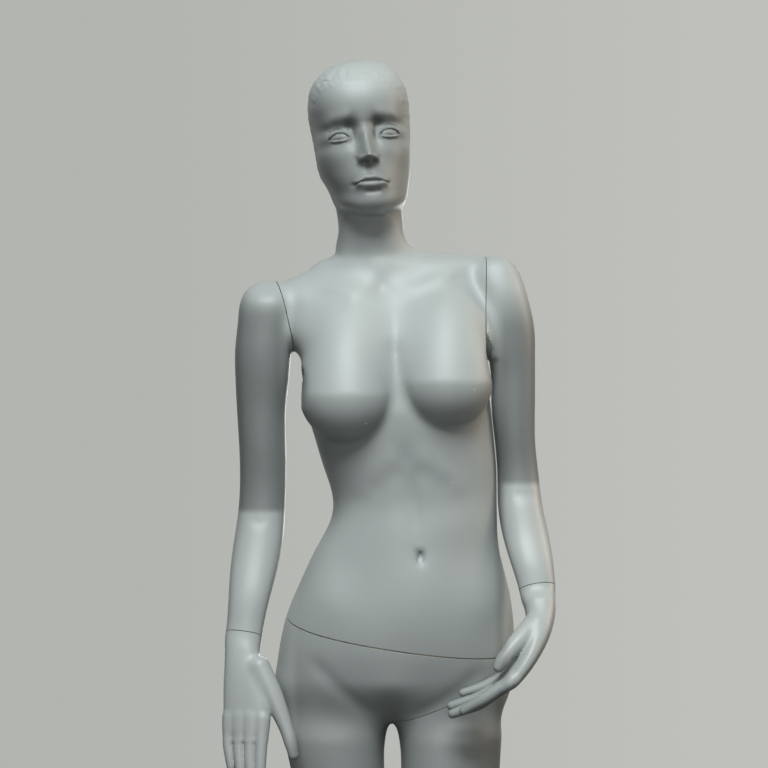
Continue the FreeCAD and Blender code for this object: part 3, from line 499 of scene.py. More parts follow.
torso_front, torso_back = Marks(), Marks()
for points in ([(-34, 1457), (-62, 1456), (-96, 1466), (-134, 1478)],
               [(-12, 1460), (22, 1462), (60, 1478), (98, 1494)]):
    torso_front.line(points, 8, 2.2)
    torso_front.line([(x, z - 17) for x, z in points[1:]], 10, -1.6)
torso_front.spot(-23, 1462, 9, 10, -4.5)
torso_front.line([(-27, 1476), (-38, 1510), (-56, 1545)], 9, 1.2)
torso_front.line([(-18, 1476), (-20, 1510), (-12, 1545)], 9, 1.2)
torso_front.line([(-10, 1400), (-5, 1365), (-2, 1325), (0, 1285)], 8, -3.0)
torso_front.line([(4, 1262), (12, 1205), (22, 1150), (27, 1108)], 8, -2.0)
torso_front.line([(-66, 1168), (-44, 1200), (-12, 1228), (8, 1234)], 11, 1.4)
torso_front.line([(96, 1172), (70, 1202), (36, 1228), (12, 1234)], 11, 1.4)
torso_front.line([(-40, 1176), (-8, 1206), (10, 1214)], 10, -0.9)
torso_front.line([(76, 1182), (42, 1206), (16, 1214)], 10, -0.9)
for x, z, size, height in ((-14, 1178, 17, 2.4), (44, 1180, 17, 2.2), (-10, 1132, 18, 1.8),
                           (55, 1134, 18, 1.8), (28, 1052, 40, 5.0), (-96, 1036, 20, 3.4),
                           (118, 1030, 20, 3.4), (-66, 1090, 22, -2.4), (98, 1092, 20, -2.4)):
    torso_front.spot(x, z, size, size * 1.15, height)
torso_front.spot(29.5, 1097, 12, 15, -2.2)
torso_front.spot(29.5, 1095, 2.9, 6.0, -9.0)
torso_front.line([(23, 1104), (29.5, 1108), (36, 1104)], 2.4, 1.6)
torso_back.line([(-24, 1470), (-14, 1390), (0, 1300), (16, 1190), (16, 1110), (8, 1020)], 9, -6.0)
for x, z, wide, tall, height in ((-84, 1388, 27, 42, 6), (62, 1400, 27, 42, 6),
                                 (-50, 1140, 16, 60, 2.5), (82, 1140, 16, 60, 2.5),
                                 (-20, 1016, 7, 7, -2.2), (34, 1016, 7, 7, -2.2)):
    torso_back.spot(x, z, wide, tall, height)

SLOPE_LENGTH, SLOPE_BACK = 2.2, 0.33      # of the bust above its fullest level
trunk, neck, head = Sections(TRUNK), Sections(NECK), Sections(HEAD, end_round=9)
arms = {"right": Sections(RIGHT_ARM), "left": Sections(LEFT_ARM)}


def ears(p):
    """Both ears, flat against the head, with the hollow inside the rim."""
    made = np.full(len(p), 1e3)
    for out, x, y, lean in ((-1, -108.5, 6, -16), (1, 10, 10, 12)):
        shell = egg(p, (x, y, 1642), (5.5, 14, 26), lean=lean)
        for dx, dy, dz, radii in ((5, -3, 6, (5, 9, 14)), (5, -7, -9, (5, 5, 8))):
            shell = trim(shell, -egg(p, (x + out * dx, y + dy, 1642 + dz), radii, lean=lean), 1.5)
        made = np.minimum(made, shell)
    return made


def breasts(p):
    """Teardrops: a round lower half, and a slope that runs up to the collarbone."""
    made = np.full(len(p), 1e3)
    for x, y, z, size in ((-70, -67, 1316, 66), (65, -67, 1334, 64)):
        rise = np.maximum(p[:, 2] - z, 0)
        q = p + np.stack([0 * rise, -SLOPE_BACK * rise, (1 / SLOPE_LENGTH - 1) * rise], 1)
        made = np.minimum(made, egg(q, (x, y, z), (size, size * 1.02, size)))
    return made


def torso_form(p):
    """Trunk, bust, neck and head without the arms."""
    form = blend(trunk(p), breasts(p), 8 + 22 * ramp(p[:, 2], 1310, 1400))
    form = blend(form, neck(p), 34)
    upright = np.flatnonzero(p[:, 2] > 1520)
    high = p[upright]
    skull = blend(head(high), form[upright], 12)
    skull = blend(skull, ears(high), 2.0) - face_relief(high)
    form[upright] = np.where(high[:, 2] > 1540, skull,
                             skull + (form[upright] - skull) * ramp(1540 - high[:, 2], 0, 20))
    low = p[:, 2] < 1560
    form -= torso_front(p[:, 0], p[:, 2], low * ramp(-p[:, 1], 0, 25))
    form -= torso_back(p[:, 0], p[:, 2], low * ramp(p[:, 1], 0, 25))
    return form


def torso_skin(p):
    """The torso with the stubs of both shoulders, clear of the arms below the armpits."""
    form = torso_form(p)
    for side, arm in arms.items():
        near = np.flatnonzero((np.abs(p[:, 0]) > 60) & (p[:, 2] > 1280) & (p[:, 2] < 1530)
                              & (np.sign(p[:, 0]) == (1 if side == "left" else -1)))
        q = p[near]
        away = WELL_AWAY * ramp(ARMPIT[side] - q[:, 2], 0, 30)
        stub = blend(form[near], arm(q) + away, SHOULDER_FILLET)
        hollow = SHOULDER[side].height(q) - 2 - 14 * ramp(ARMPIT[side] - q[:, 2], 0, 60)
        hollow -= 40 * ramp(q[:, 2], ARMPIT[side] + 4, ARMPIT[side] + 24)
        form[near] = np.where(q[:, 2] < 1300, form[near], trim(stub, hollow, 6))
    return form


def slope(field, p, step=0.25):
    """The field's gradient by central differences."""
    made = np.empty_like(p)
    for axis in range(3):
        shift = np.zeros(3)
        shift[axis] = step
        made[:, axis] = (field(p + shift) - field(p - shift)) / (2 * step)
    return made


def settled(field, p, rounds=3, longest=4.0):
    """Points moved onto the field's surface."""
    for _ in range(rounds):
        grade = slope(field, p)
        move = grade * (field(p) / np.maximum((grade ** 2).sum(1), 0.05))[:, None]
        size = np.linalg.norm(move, axis=1, keepdims=True)
        p = p - move * np.minimum(1, longest / np.maximum(size, 1e-9))
    return p


def relaxed(p, edges, rounds, strength=0.5):
    """Points eased towards the middle of their neighbours."""
    count = np.bincount(edges.ravel(), minlength=len(p))
    for _ in range(rounds):
        total = np.stack([np.bincount(edges[:, 0], p[edges[:, 1], axis], len(p))
                          + np.bincount(edges[:, 1], p[edges[:, 0], axis], len(p))
                          for axis in range(3)], 1)
        p = p + strength * (total / np.maximum(count, 1)[:, None] - p)
    return p


def netted(field, low, high, step):
    """A closed net of quads near the field's surface, from a grid of cubes."""
    ticks = [np.arange(low[axis], high[axis] + step, step) for axis in range(3)]
    shape = tuple(len(t) for t in ticks)
    value = np.empty(shape)
    flat = np.stack(np.meshgrid(ticks[0], ticks[1], indexing="ij"), -1).reshape(-1, 2)
    for level, z in enumerate(ticks[2]):
        layer = np.column_stack([flat, np.full(len(flat), z)])
        value[:, :, level] = field(layer).reshape(shape[:2])
    inside = value < 0
    cells = tuple(n - 1 for n in shape)
    weight, total = np.zeros(cells), np.zeros(cells + (3,))

    def corner(array, shift):
        return array[tuple(slice(s, s + n) for s, n in zip(shift, cells))]

    for axis in range(3):
        others = [a for a in range(3) if a != axis]
        for i in (0, 1):
            for j in (0, 1):
                start = [0, 0, 0]
                start[others[0]], start[others[1]] = i, j
                end = list(start)
                end[axis] = 1
                a, b = corner(value, start), corner(value, end)
                crossing = (a < 0) != (b < 0)
                share = np.where(crossing, a / np.where(crossing, a - b, 1), 0)
                weight += crossing
                for k in range(3):
                    total[..., k] += crossing * (share if k == axis else start[k])
    used = weight > 0
    number = np.full(cells, -1)
    number[used] = np.arange(used.sum())
    base = np.argwhere(used)
    points = (base + total[used] / weight[used][:, None]) * step + np.array(low, float)
    quads = []
    for axis, (a, b) in enumerate(((1, 2), (2, 0), (0, 1))):
        first = np.take(inside, range(0, shape[axis] - 1), axis)
        second = np.take(inside, range(1, shape[axis]), axis)
        spots = np.argwhere(first != second)
        spots = spots[(spots[:, a] > 0) & (spots[:, b] > 0)
                      & (spots[:, a] < shape[a] - 1) & (spots[:, b] < shape[b] - 1)]
        ring = []
        for back_a, back_b in ((1, 1), (0, 1), (0, 0), (1, 0)):
            cell = spots.copy()
            cell[:, a] -= back_a
            cell[:, b] -= back_b
            ring.append(number[tuple(cell.T)])
        ring = np.stack(ring, 1)
        outward = inside[tuple(spots.T)]
        quads.append(np.where(outward[:, None], ring, ring[:, ::-1]))
    return points, np.concatenate(quads)


def mesh_parts(bm):
    p = np.array([v.co for v in bm.verts])
    return p, np.array([[v.index for v in e.verts] for e in bm.edges])


def carved(field, low, high, step, finer=()):
    """A skin on the field's surface; each test in finer halves the mesh where it holds."""
    points, quads = netted(field, low, high, step)
    edges = np.unique(np.sort(np.concatenate([quads[:, [k, (k + 1) % 4]] for k in range(4)]), 1),
                      axis=0)
    for _ in range(3):
        points = settled(field, relaxed(points, edges, 1), 2)
    mesh = bpy.data.meshes.new("skin")
    mesh.from_pydata(points.tolist(), [], quads.tolist())
    bm = bmesh.new()
    bm.from_mesh(mesh)
    bpy.data.meshes.remove(mesh)
    for test in finer:
        centres = np.array([f.calc_center_median() for f in bm.faces])
        chosen = test(centres)
        picked = {e for f, use in zip(list(bm.faces), chosen) if use for e in f.edges}
        bmesh.ops.subdivide_edges(bm, edges=list(picked), cuts=1, use_grid_fill=True)
        bm.verts.index_update()
        points, edges = mesh_parts(bm)
        moving = np.flatnonzero(test(points))
        points[moving] = settled(field, points[moving], 3, step / 2)
        eased = relaxed(points, edges, 2, 0.4)
        points[moving] = settled(field, eased[moving], 3, step / 2)
        for vert, place in zip(bm.verts, points.tolist()):
            vert.co = place
    return bm


def open_at(bm, field, seam, offset, within, second=None, both=False):
    """Cuts the skin at a seam, moved by offset along its outward side, and gives it a wall.

    What lies beyond the seam goes; with a second seam, what lies beyond either, or with
    both=True beyond both.  Only faces for which within holds are cut."""
    planes = [seam] if second is None else [seam, second]
    for plane in planes:
        centres = np.array([f.calc_center_median() for f in bm.faces])
        chosen = [f for f, use in zip(bm.faces, within(centres)) if use]
        geometry = list({e for f in chosen for e in f.edges}) + chosen
        geometry += list({v for f in chosen for v in f.verts})
        bmesh.ops.bisect_plane(bm, geom=geometry, dist=0.02, plane_no=Vector(plane.normal),
                               plane_co=Vector(plane.point + plane.normal * offset))
    centres = np.array([f.calc_center_median() for f in bm.faces])
    beyond = np.array([plane.height(centres) > offset for plane in planes])
    gone = within(centres) & (beyond.all(0) if both else beyond.any(0))
    bmesh.ops.delete(bm, geom=[f for f, out in zip(list(bm.faces), gone) if out], context="FACES")
    for inward, back in ((SKIN, 0.0), (0.0, LIP)):
        rim = [e for e in bm.edges if e.is_boundary]
        made = bmesh.ops.extrude_edge_only(bm, edges=rim)["geom"]
        verts = [v for v in made if isinstance(v, bmesh.types.BMVert)]
        p = np.array([v.co for v in verts])
        if inward:
            grade = slope(field, p, 1.0)
            grade -= np.outer(grade @ seam.normal, seam.normal)
            grade /= np.maximum(np.linalg.norm(grade, axis=1, keepdims=True), 1e-6)
            p = p - grade * inward
        p = p - seam.normal * back
        for vert, place in zip(verts, p.tolist()):
            vert.co = place
    bmesh.ops.holes_fill(bm, edges=[e for e in bm.edges if e.is_boundary], sides=0)


def finished(bm, name, body, node, crease=38):
    """The piece itself, in metres, smooth but for its cut edges."""
    bmesh.ops.remove_doubles(bm, verts=bm.verts, dist=0.01)
    bmesh.ops.recalc_face_normals(bm, faces=bm.faces)
    for face in bm.faces:
        face.smooth = True
    for edge in bm.edges:
        edge.smooth = edge.calc_face_angle(0) < radians(crease)
    bmesh.ops.scale(bm, vec=(MM, MM, MM), verts=bm.verts)
    mesh = bpy.data.meshes.new(name)
    bm.to_mesh(mesh)
    bm.free()
    piece = bpy.data.objects.new(name, mesh)
    bpy.context.scene.collection.objects.link(piece)
    mesh.materials.append(paint)
    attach(piece, body)
    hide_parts(node)
    return piece


def on_face(p):
    local = p - FACE_AT
    return (local @ FACE_V > -42) & (local @ FACE_W > -112) & (p[:, 2] > 1545)


def round_eyes(p):
    local = p - FACE_AT
    u, w = np.abs(local @ FACE_U), local @ FACE_W
    return (np.abs(u - EYE_SPREAD) < 20) & (np.abs(w) < 12) & (local @ FACE_V > -30)


skin = carved(torso_skin, (-190, -150, 930), (172, 130, 1792), 5.0,
              [lambda p: (p[:, 2] > 1570) & (p[:, 2] < 1800), on_face, round_eyes])
open_at(skin, torso_skin, Seam(WAIST.point, -WAIST.normal), -WAIST_SEAM,
        lambda p: p[:, 2] < 1080)
for side, seam in SHOULDER.items():
    open_at(skin, torso_skin, seam, -SEAM,
            lambda p, seam=seam: (seam.reach(p) < 110) & (p[:, 2] > 1330)
            & (seam.height(p) > -60))
finished(skin, "torso_head_skin", "torso", "torso_head_shell")

# ---- pelvis, right leg and left leg -------------------------------------------------------
# Two more castings.  The pelvis and the right leg are one piece, which carries the figure on the
# calf rod; the left leg hangs from it on a steel keyhole plate behind a slanting cut.

RIGHT_LEG = [
    (930, -84, 4, 64, 60, 76), (876, -90, 6, 76, 68, 82), (848, -89, 6, 73, 72, 78),
    (820, -88, 5, 68.5, 72, 71), (792, -85, 4, 65.5, 71, 66), (700, -79, 1, 58, 65, 61),
    (600, -72, -3, 50, 56, 53), (520, -66, -5, 44.5, 50, 45), (470, -63, -1, 41, 43, 46),
    (400, -60, 4, 43, 41, 52), (350, -58, 8, 42.5, 39, 50), (300, -56, 12, 38.5, 37, 45),
    (250, -53, 17, 32.5, 33, 37), (200, -51, 22, 27, 29, 30), (165, -50, 26, 26, 30, 29),
]
LEFT_LEG = [
    (980, 82, 0, 62, 60, 76), (930, 80, 2, 74, 72, 92), (876, 72, 2, 75, 72, 84),
    (848, 72, 0, 73, 74, 77), (820, 73, -4, 70, 75, 72), (792, 72.5, -8, 68.5, 75, 67),
    (700, 72, -20, 60, 66, 61), (600, 72, -34, 51, 57, 52), (520, 72, -42, 44.5, 50, 45),
    (470, 71, -39, 41, 43, 46), (400, 70, -32, 43, 41, 52), (350, 70, -27, 42.5, 39, 50),
    (300, 71, -22, 38.5, 37, 45), (250, 71, -17, 32.5, 33, 37), (200, 72, -12, 27, 29, 30),
    (165, 73, -10, 26, 30, 29),
]
# The raised-heel foot, about the upright line through the ankle, toes towards -Y.
FOOT = [
    (190, 0, 0, 26, 30, 29), (160, 0, 0, 26, 34, 30), (130, 0, -6, 28.5, 50, 40),
    (110, 0, -11, 30.5, 67, 55), (95, 0, -20, 32, 74, 66), (83, 0, -32, 33, 74, 70),
    (70, 0, -50, 34.5, 70, 58), (55, 0, -68, 37, 66, 46), (40, 0, -84, 40, 63, 40),
    (25, 0, -95, 41, 65, 34), (13, 0, -99, 39.5, 64, 27), (8.6, 0, -100, 35, 57, 20),
]
ANKLES = {"right": (-49, 27, -5), "left": (73, -9, 10)}     # x, y and the toes' turn
HIP = Seam((76, 0, 910.2), (0.4, 0.222, -0.889))
CROTCH = Seam((-8, 0, 870), (1, 0, 0))
HIP_FADE = (836, 925)                       # heights between which the trunk turns into legs
TOE_GAPS = (15, 2, -10, -22)                # from the foot's middle towards the little toe

legs = {"right": Sections(RIGHT_LEG), "left": Sections(LEFT_LEG)}
foot = Sections(FOOT, end_round=5)
lower_front, lower_back, toes = Marks(), Marks(), Marks()
for points in ([(-128, 962), (-84, 916), (-46, 884), (-26, 866)],
               [(126, 948), (78, 908), (34, 880), (10, 864)]):
    lower_front.line(points, 8, -3.0)
lower_front.spot(-8, 908, 28, 26, 5.0)
lower_front.spot(12, 964, 60, 22, 2.5)
for knee_x, shin_x in ((-64, -58), (71, 70)):
    lower_front.spot(knee_x, 474, 17, 22, 3.6)
    lower_front.line([(knee_x - 19, 500), (knee_x - 22, 470), (knee_x - 15, 446)], 6, -2.2)
    lower_front.line([(knee_x + 19, 500), (knee_x + 22, 470), (knee_x + 15, 446)], 6, -2.2)
    lower_front.spot(knee_x, 434, 10, 10, 2.0)
    lower_front.line([(shin_x + 2, 410), (shin_x, 320), (shin_x, 230)], 6, 1.6)
    lower_back.line([(knee_x - 14, 500), (knee_x - 15, 460)], 6, 2.2)
    lower_back.line([(knee_x + 14, 500), (knee_x + 15, 460)], 6, 2.2)
    lower_back.line([(shin_x, 420), (shin_x - 1, 360), (shin_x - 2, 300)], 5, -1.8)
lower_back.line([(6, 968), (-4, 930), (-9, 890), (-9, 860)], 8, -17)
lower_back.line([(-30, 868), (-80, 852), (-130, 860)], 9, -4.5)
lower_back.line([(20, 868), (70, 856), (124, 866)], 9, -4.5)
for gap in TOE_GAPS:
    toes.line([(gap, -126), (gap * 1.15, -170)], 1.9, -6.0)
toes.spot(-37, -166, 12, 14, -13)
toes.spot(-20, -174, 12, 9, -5)


def lower_form(p):
    """Hips, both legs and both feet."""
    form = blend(legs["right"](p), legs["left"](p), 10)
    high = np.flatnonzero(p[:, 2] > HIP_FADE[0])
    share = ramp(p[high, 2], *HIP_FADE)
    form[high] += share * (trunk(p[high]) - form[high])
    form -= lower_front(p[:, 0], p[:, 2], ramp(10 - p[:, 1], 0, 25))
    form -= lower_back(p[:, 0], p[:, 2], ramp(p[:, 1] - 8, 0, 25))
    for side, (x, y, turn) in ANKLES.items():
        near = np.flatnonzero((p[:, 2] < 215) & (np.sign(p[:, 0]) == np.sign(x)))
        q = p[near] - (x, y, 0)
        c, s = cos(radians(turn)), sin(radians(turn))
        local = np.stack([q[:, 0] * c + q[:, 1] * s, q[:, 1] * c - q[:, 0] * s, q[:, 2]], 1)
        made = foot(local)
        inner = 1 if side == "right" else -1
        made -= toes(local[:, 0] * inner, local[:, 1], ramp(62 - local[:, 2], 0, 25))
        for bone, height in ((26, 128), (-26, 120)):
            made = blend(made, egg(local, (bone * inner, 2, height), (7, 11, 11)), 12)
        form[near] = blend(form[near], made, 12)
    return form


lower = carved(lower_form, (-180, -185, 0), (170, 132, 1020), 5.0, [lambda p: p[:, 2] < 150])
hanging_leg = lower.copy()
open_at(lower, lower_form, WAIST, -WAIST_SEAM, lambda p: p[:, 2] > 900)
open_at(lower, lower_form, HIP, -SEAM, lambda p: p[:, 2] < 985,
        second=Seam(CROTCH.point, CROTCH.normal), both=True)
finished(lower, "pelvis_right_leg_skin", "lower_body", "pelvis_right_leg_shell")
open_at(hanging_leg, lower_form, Seam(HIP.point, -HIP.normal), -SEAM, lambda p: p[:, 2] < 1100,
        second=Seam(CROTCH.point, -CROTCH.normal))
finished(hanging_leg, "left_leg_skin", "left_leg", "left_leg_shell")

# ---- arms ---------------------------------------------------------------------------------
# Two castings, each with a wooden plate in its round shoulder face.  They hang a little bent,
# and below the left shoulder's face the arm stands clear of the flank.

WRIST = {"right": Seam((-214, -53, 986), (-0.132, -0.359, -0.924)),
         "left": Seam((188.5, -64, 1051), (0.152, -0.447, -0.882))}
ELBOWS = {"right": ((-188, 1158), (-178, 1140)), "left": ((168, 1192), (160, 1176))}
FACE_MARGIN = 12
ARM_STUB = 30               # an arm's form runs this far past its shoulder seam

arm_front, arm_back = Marks(), Marks()
for side, ((point_x, point_z), (inner_x, inner_z)) in ELBOWS.items():
    outward = -1 if side == "right" else 1
    arm_back.spot(point_x, point_z, 8, 10, 3.2)
    arm_back.spot(point_x + outward * 17, point_z, 6, 12, -1.8)
    arm_back.spot(point_x - outward * 15, point_z, 6, 12, -1.8)
    arm_front.line([(inner_x, inner_z + 6), (inner_x + outward * 15, inner_z - 2),
                    (inner_x + outward * 30, inner_z + 4)], 6, -1.3)
    arm_front.spot(point_x + outward * 2, point_z + 90, 14, 45, 1.6)


def arm_skin(side):
    seam = SHOULDER[side]

    def field(p):
        form = arms[side](p)
        form -= arm_front(p[:, 0], p[:, 2], ramp(12 - p[:, 1], 0, 20))
        form -= arm_back(p[:, 0], p[:, 2], ramp(p[:, 1] - 4, 0, 20))
        near = np.flatnonzero(p[:, 2] > ARMPIT[side] - 30)
        q = p[near]
        away = WELL_AWAY * ramp(ARMPIT[side] - q[:, 2], 0, 30)
        form[near] = blend(form[near], torso_form(q) + away, SHOULDER_FILLET)
        past_face = ramp(seam.reach(p), SHOULDER_FACE[side] - FACE_MARGIN, SHOULDER_FACE[side])
        limit = -ARM_STUB + (ARM_STUB + ARM_STANDOFF[side]) * past_face
        return trim(form, limit - seam.height(p), 5)
    return field


for side, (low, high) in {"right": ((-250, -90, 930), (-100, 70, 1500)),
                          "left": ((95, -105, 1000), (222, 60, 1530))}.items():
    field = arm_skin(side)
    skin = carved(field, low, high, 4.0)
    open_at(skin, field, Seam(SHOULDER[side].point, -SHOULDER[side].normal), -SEAM,
            lambda p: p[:, 2] > 1300)
    open_at(skin, field, WRIST[side], -SEAM, lambda p: p[:, 2] < 1150)
    finished(skin, "arm_skin_" + side, "arm_" + side, "arm_shell_" + side)

# ---- hands --------------------------------------------------------------------------------
# Cast solid, with long slender fingers and shallow nails.  Each plugs into its wrist on a square
# spigot; the left one rests before the hip with its thumb apart.

PALMS = {        # centre, direction across the palm, half width, half thickness
    "right": [((-214, -53, 986), (1, 0, 0), 24.3, 19.5),
              ((-214, -66, 955), (0.98, -0.15, 0), 24, 16.5),
              ((-210, -77, 925), (0.96, -0.26, 0), 29.5, 15.5),
              ((-207, -87, 895), (0.95, -0.30, 0), 32.5, 13.5),
              ((-207, -94, 868), (0.95, -0.30, 0), 32, 11),
              ((-207, -97, 852), (0.95, -0.30, 0), 29, 8)],
    "left": [((188.5, -64, 1051), (1, 0, 0), 24.6, 19.5),
             ((193, -81, 1020), (1, 0, 0), 20.5, 22.5),
             ((187, -98, 991), (0.9, 0, -0.35), 17, 28.5),
             ((171, -112, 960), (0.79, 0, -0.61), 13.5, 33.5),
             ((150, -121, 934), (0.6, 0, -0.8), 11.5, 34),
             ((138, -123, 925), (0.55, 0, -0.84), 8.5, 31)],
}
FINGERS = {      # points from the palm to the tip, and the radius at each
    "right": [[((-230, -86, 876), 8.6), ((-231, -92, 845), 7.8), ((-229, -96, 826), 7.0),
               ((-227, -98, 812), 6.0)],
              [((-215, -92, 878), 9), ((-216, -99, 838), 8.4), ((-214, -104, 812), 7.6),
               ((-212, -106, 789), 6.4)],
              [((-200, -97, 878), 9.2), ((-201, -104, 836), 8.6), ((-200, -109, 808), 7.7),
               ((-198, -111, 781), 6.5)],
              [((-184, -101, 876), 9), ((-186, -108, 838), 8.3), ((-187, -112, 812), 7.5),
               ((-188, -114, 791), 6.3)],
              [((-190, -78, 944), 15), ((-170, -90, 905), 13.5), ((-153, -99, 866), 9.8),
               ((-146, -102, 846), 9.4), ((-142, -103, 829), 7.2)]],
    "left": [[((150, -147, 936), 8.6), ((116, -149, 913), 8.2), ((99, -147, 903), 7.2),
              ((86, -145, 895), 6.1)],
             [((150, -131, 934), 9), ((112, -132, 905), 8.4), ((90, -130, 895), 7.4),
              ((72, -128, 888), 6.2)],
             [((150, -115, 934), 8.8), ((112, -115, 910), 8.1), ((90, -113, 902), 7.2),
              ((71, -111, 896), 6.1)],
             [((150, -99.5, 938), 8.2), ((118, -100, 922), 7.3), ((101, -100, 916), 6.5),
              ((87, -100, 912), 5.6)],
             [((182, -104, 1004), 15), ((160, -124, 984), 13), ((144, -135, 968), 9.9),
              ((138, -138, 960), 9.4), ((133, -140, 952), 7.2)]],
}
PALM_SQUARENESS = 2.4
PALM_END = 4.0              # how far a palm runs past its middle line's ends
WRIST_FADE = 26             # beyond the seam, over which the forearm's form becomes the hand's


def curved(rows, finer=5):
    """The rows as an array, with others between them on a smooth curve."""
    rows = np.array(rows, float)
    rows = np.vstack([2 * rows[0] - rows[1], rows, 2 * rows[-1] - rows[-2]])
    made = []
    for a, b, c, d in zip(rows, rows[1:], rows[2:], rows[3:]):
        for t in np.arange(finer) / finer:
            made.append(0.5 * (2 * b + (c - a) * t + (2 * a - 5 * b + 4 * c - d) * t ** 2
                               + (3 * b - 3 * c + d - a) * t ** 3))
    return np.array(made + [rows[-2]])


def palm(p, rows):
    """A field along a curved middle line; each section's width lies along a given direction."""
    nearest, made = np.full(len(p), 1e9), np.zeros(len(p))
    for a, b in zip(rows, rows[1:]):
        run = b[:3] - a[:3]
        t = np.clip((p - a[:3]) @ run / (run @ run), 0, 1)
        here = a + (b - a) * t[:, None]
        offset = p - here[:, :3]
        way = run / np.linalg.norm(run)
        across = here[:, 3:6] - (here[:, 3:6] @ way)[:, None] * way
        across /= np.linalg.norm(across, axis=1, keepdims=True)
        x, y = (offset * across).sum(1) + 1e-6, (offset * np.cross(way, across)).sum(1)
        q = ((np.abs(x) / here[:, 6]) ** PALM_SQUARENESS
             + (np.abs(y) / here[:, 7]) ** PALM_SQUARENESS) ** (1 / PALM_SQUARENESS)
        piece = trim(np.hypot(x, y) * (1 - 1 / q), np.abs(offset @ way) - PALM_END, 3)
        away = np.linalg.norm(offset, axis=1)
        made = np.where(away < nearest, piece, made)
        nearest = np.minimum(away, nearest)
    return made


def finger(p, rows):
    """A field round a curved line of spheres."""
    made = np.full(len(p), 1e3)
    for a, b in zip(rows, rows[1:]):
        run = b[:3] - a[:3]
        t = np.clip((p - a[:3]) @ run / (run @ run), 0, 1)
        piece = np.linalg.norm(p - a[:3] - run * t[:, None], axis=1) - a[3] - (b[3] - a[3]) * t
        made = np.minimum(made, piece)
    return made


def hand_skin(side):
    cuff = WRIST[side]
    palm_rows = curved([(*centre, *across, wide, thick)
                        for centre, across, wide, thick in PALMS[side]])
    finger_rows = [curved([(*centre, radius) for centre, radius in rows])
                   for rows in FINGERS[side]]

    def field(p):
        form = palm(p, palm_rows)
        fingers = np.full(len(p), 1e3)
        for rows in finger_rows:
            fingers = blend(fingers, finger(p, rows), 1.2)
        form = blend(form, fingers, 7)
        return form + (1 - ramp(cuff.height(p), 0, WRIST_FADE)) * (arms[side](p) - form)
    return field


for side, (low, high) in {"right": ((-256, -132, 765), (-128, -20, 1004)),
                          "left": ((58, -170, 872), (226, -30, 1070))}.items():
    field = hand_skin(side)
    skin = carved(field, low, high, 2.0)
    open_at(skin, field, Seam(WRIST[side].point, -WRIST[side].normal), -SEAM,
            lambda p: p[:, 2] > 900)
    finished(skin, "hand_skin_" + side, "hand_" + side, "hand_" + side)

# ---- fittings -----------------------------------------------------------------------------
# What shows of the CAD frame: plywood closing plates, turned and zinc-plated fittings, the
# chromed calf rod, and the brushed base with its rubber pad and black lock knob.


def wooden(name, pale, dark, grain_size):
    wood = Finish(name, Specular_IOR_Level=0.3)
    figure = wood.noise(grain_size * 6, 4.0, (1, 0.12, 1))
    grain = wood.noise(grain_size, 6.0, (1, 0.05, 1))
    wood.feed("Base Color", wood.mixed(figure.above(0.3, 0.7) * 0.6 + grain.above(0.45, 0.7) * 0.4,
                                       pale, dark))
    wood.feed("Roughness", 0.55 + grain * 0.25)
    wood.bumped(grain, 0.0002)
    return wood.material


def metal(name, colour, dull, roughness, spread, size, stretch=(1, 1, 1)):
    """Plated or brushed metal: fine marks over soft stains."""
    made = Finish(name, Metallic=1.0)
    marks, stain = made.noise(size, 4.0, stretch), made.noise(0.03)
    made.feed("Base Color", made.mixed(stain.above(0.4, 0.75) * 0.5, colour, dull))
    made.feed("Roughness", roughness + marks * spread + stain.above(0.5, 0.8) * 0.1)
    made.bumped(marks, 0.00002)
    return made.material


def turned_steel():
    """The base disc, brushed in circles about its middle."""
    made = Finish("brushed_steel", Metallic=1.0)
    flat = made.node("VectorMath", {"operation": "MULTIPLY"}, made.place, (1, 1, 0))
    radius = made.node("VectorMath", {"operation": "LENGTH"}, flat, output=1)
    along = made.node("CombineXYZ", {}, radius, 0, 0)
    brushing = Value(made, made.node("TexNoise", {}, along, 1 / 0.0008, 5.0))
    stain = made.noise(0.05)
    made.feed("Base Color", made.mixed(stain.above(0.4, 0.7) * 0.4, (0.60, 0.61, 0.62, 1),
                                       (0.45, 0.45, 0.46, 1)))
    made.feed("Roughness", 0.22 + brushing * 0.2 + stain.above(0.5, 0.7) * 0.08)
    made.bumped(brushing, 0.00003)
    return made.material


def moulded(name, colour, worn, roughness, size, depth):
    """Rubber or nylon, with a fine moulded texture and paler worn patches."""
    made = Finish(name, Specular_IOR_Level=0.35)
    texture, wear = made.noise(size, 3.0), made.noise(0.02)
    made.feed("Base Color", made.mixed(wear.above(0.5, 0.75) * 0.5, colour, worn))
    made.feed("Roughness", roughness + texture * 0.15)
    made.bumped(texture, depth)
    return made.material


fittings = {
    "plate_wood": wooden("plate_wood", (0.56, 0.41, 0.23, 1), (0.36, 0.23, 0.11, 1), 0.004),
    "dowel_wood": wooden("dowel_wood", (0.62, 0.48, 0.28, 1), (0.45, 0.31, 0.16, 1), 0.002),
    "brushed_steel": turned_steel(),
    "rod_chrome": metal("rod_chrome", (0.80, 0.81, 0.82, 1), (0.66, 0.67, 0.68, 1), 0.05, 0.06,
                        0.004, (1, 1, 0.1)),
    "zinc_screw": metal("zinc_screw", (0.66, 0.66, 0.62, 1), (0.5, 0.5, 0.46, 1), 0.24, 0.2,
                        0.001),
    "fitting_zinc": metal("fitting_zinc", (0.56, 0.57, 0.56, 1), (0.42, 0.42, 0.4, 1), 0.28, 0.22,
                          0.0015),
    "pad_rubber": moulded("pad_rubber", (0.018, 0.018, 0.018, 1), (0.05, 0.05, 0.048, 1), 0.72,
                          0.0012, 0.0001),
    "black_plastic": moulded("black_plastic", (0.014, 0.014, 0.015, 1), (0.04, 0.04, 0.04, 1), 0.42,
                             0.0008, 0.00005),
}
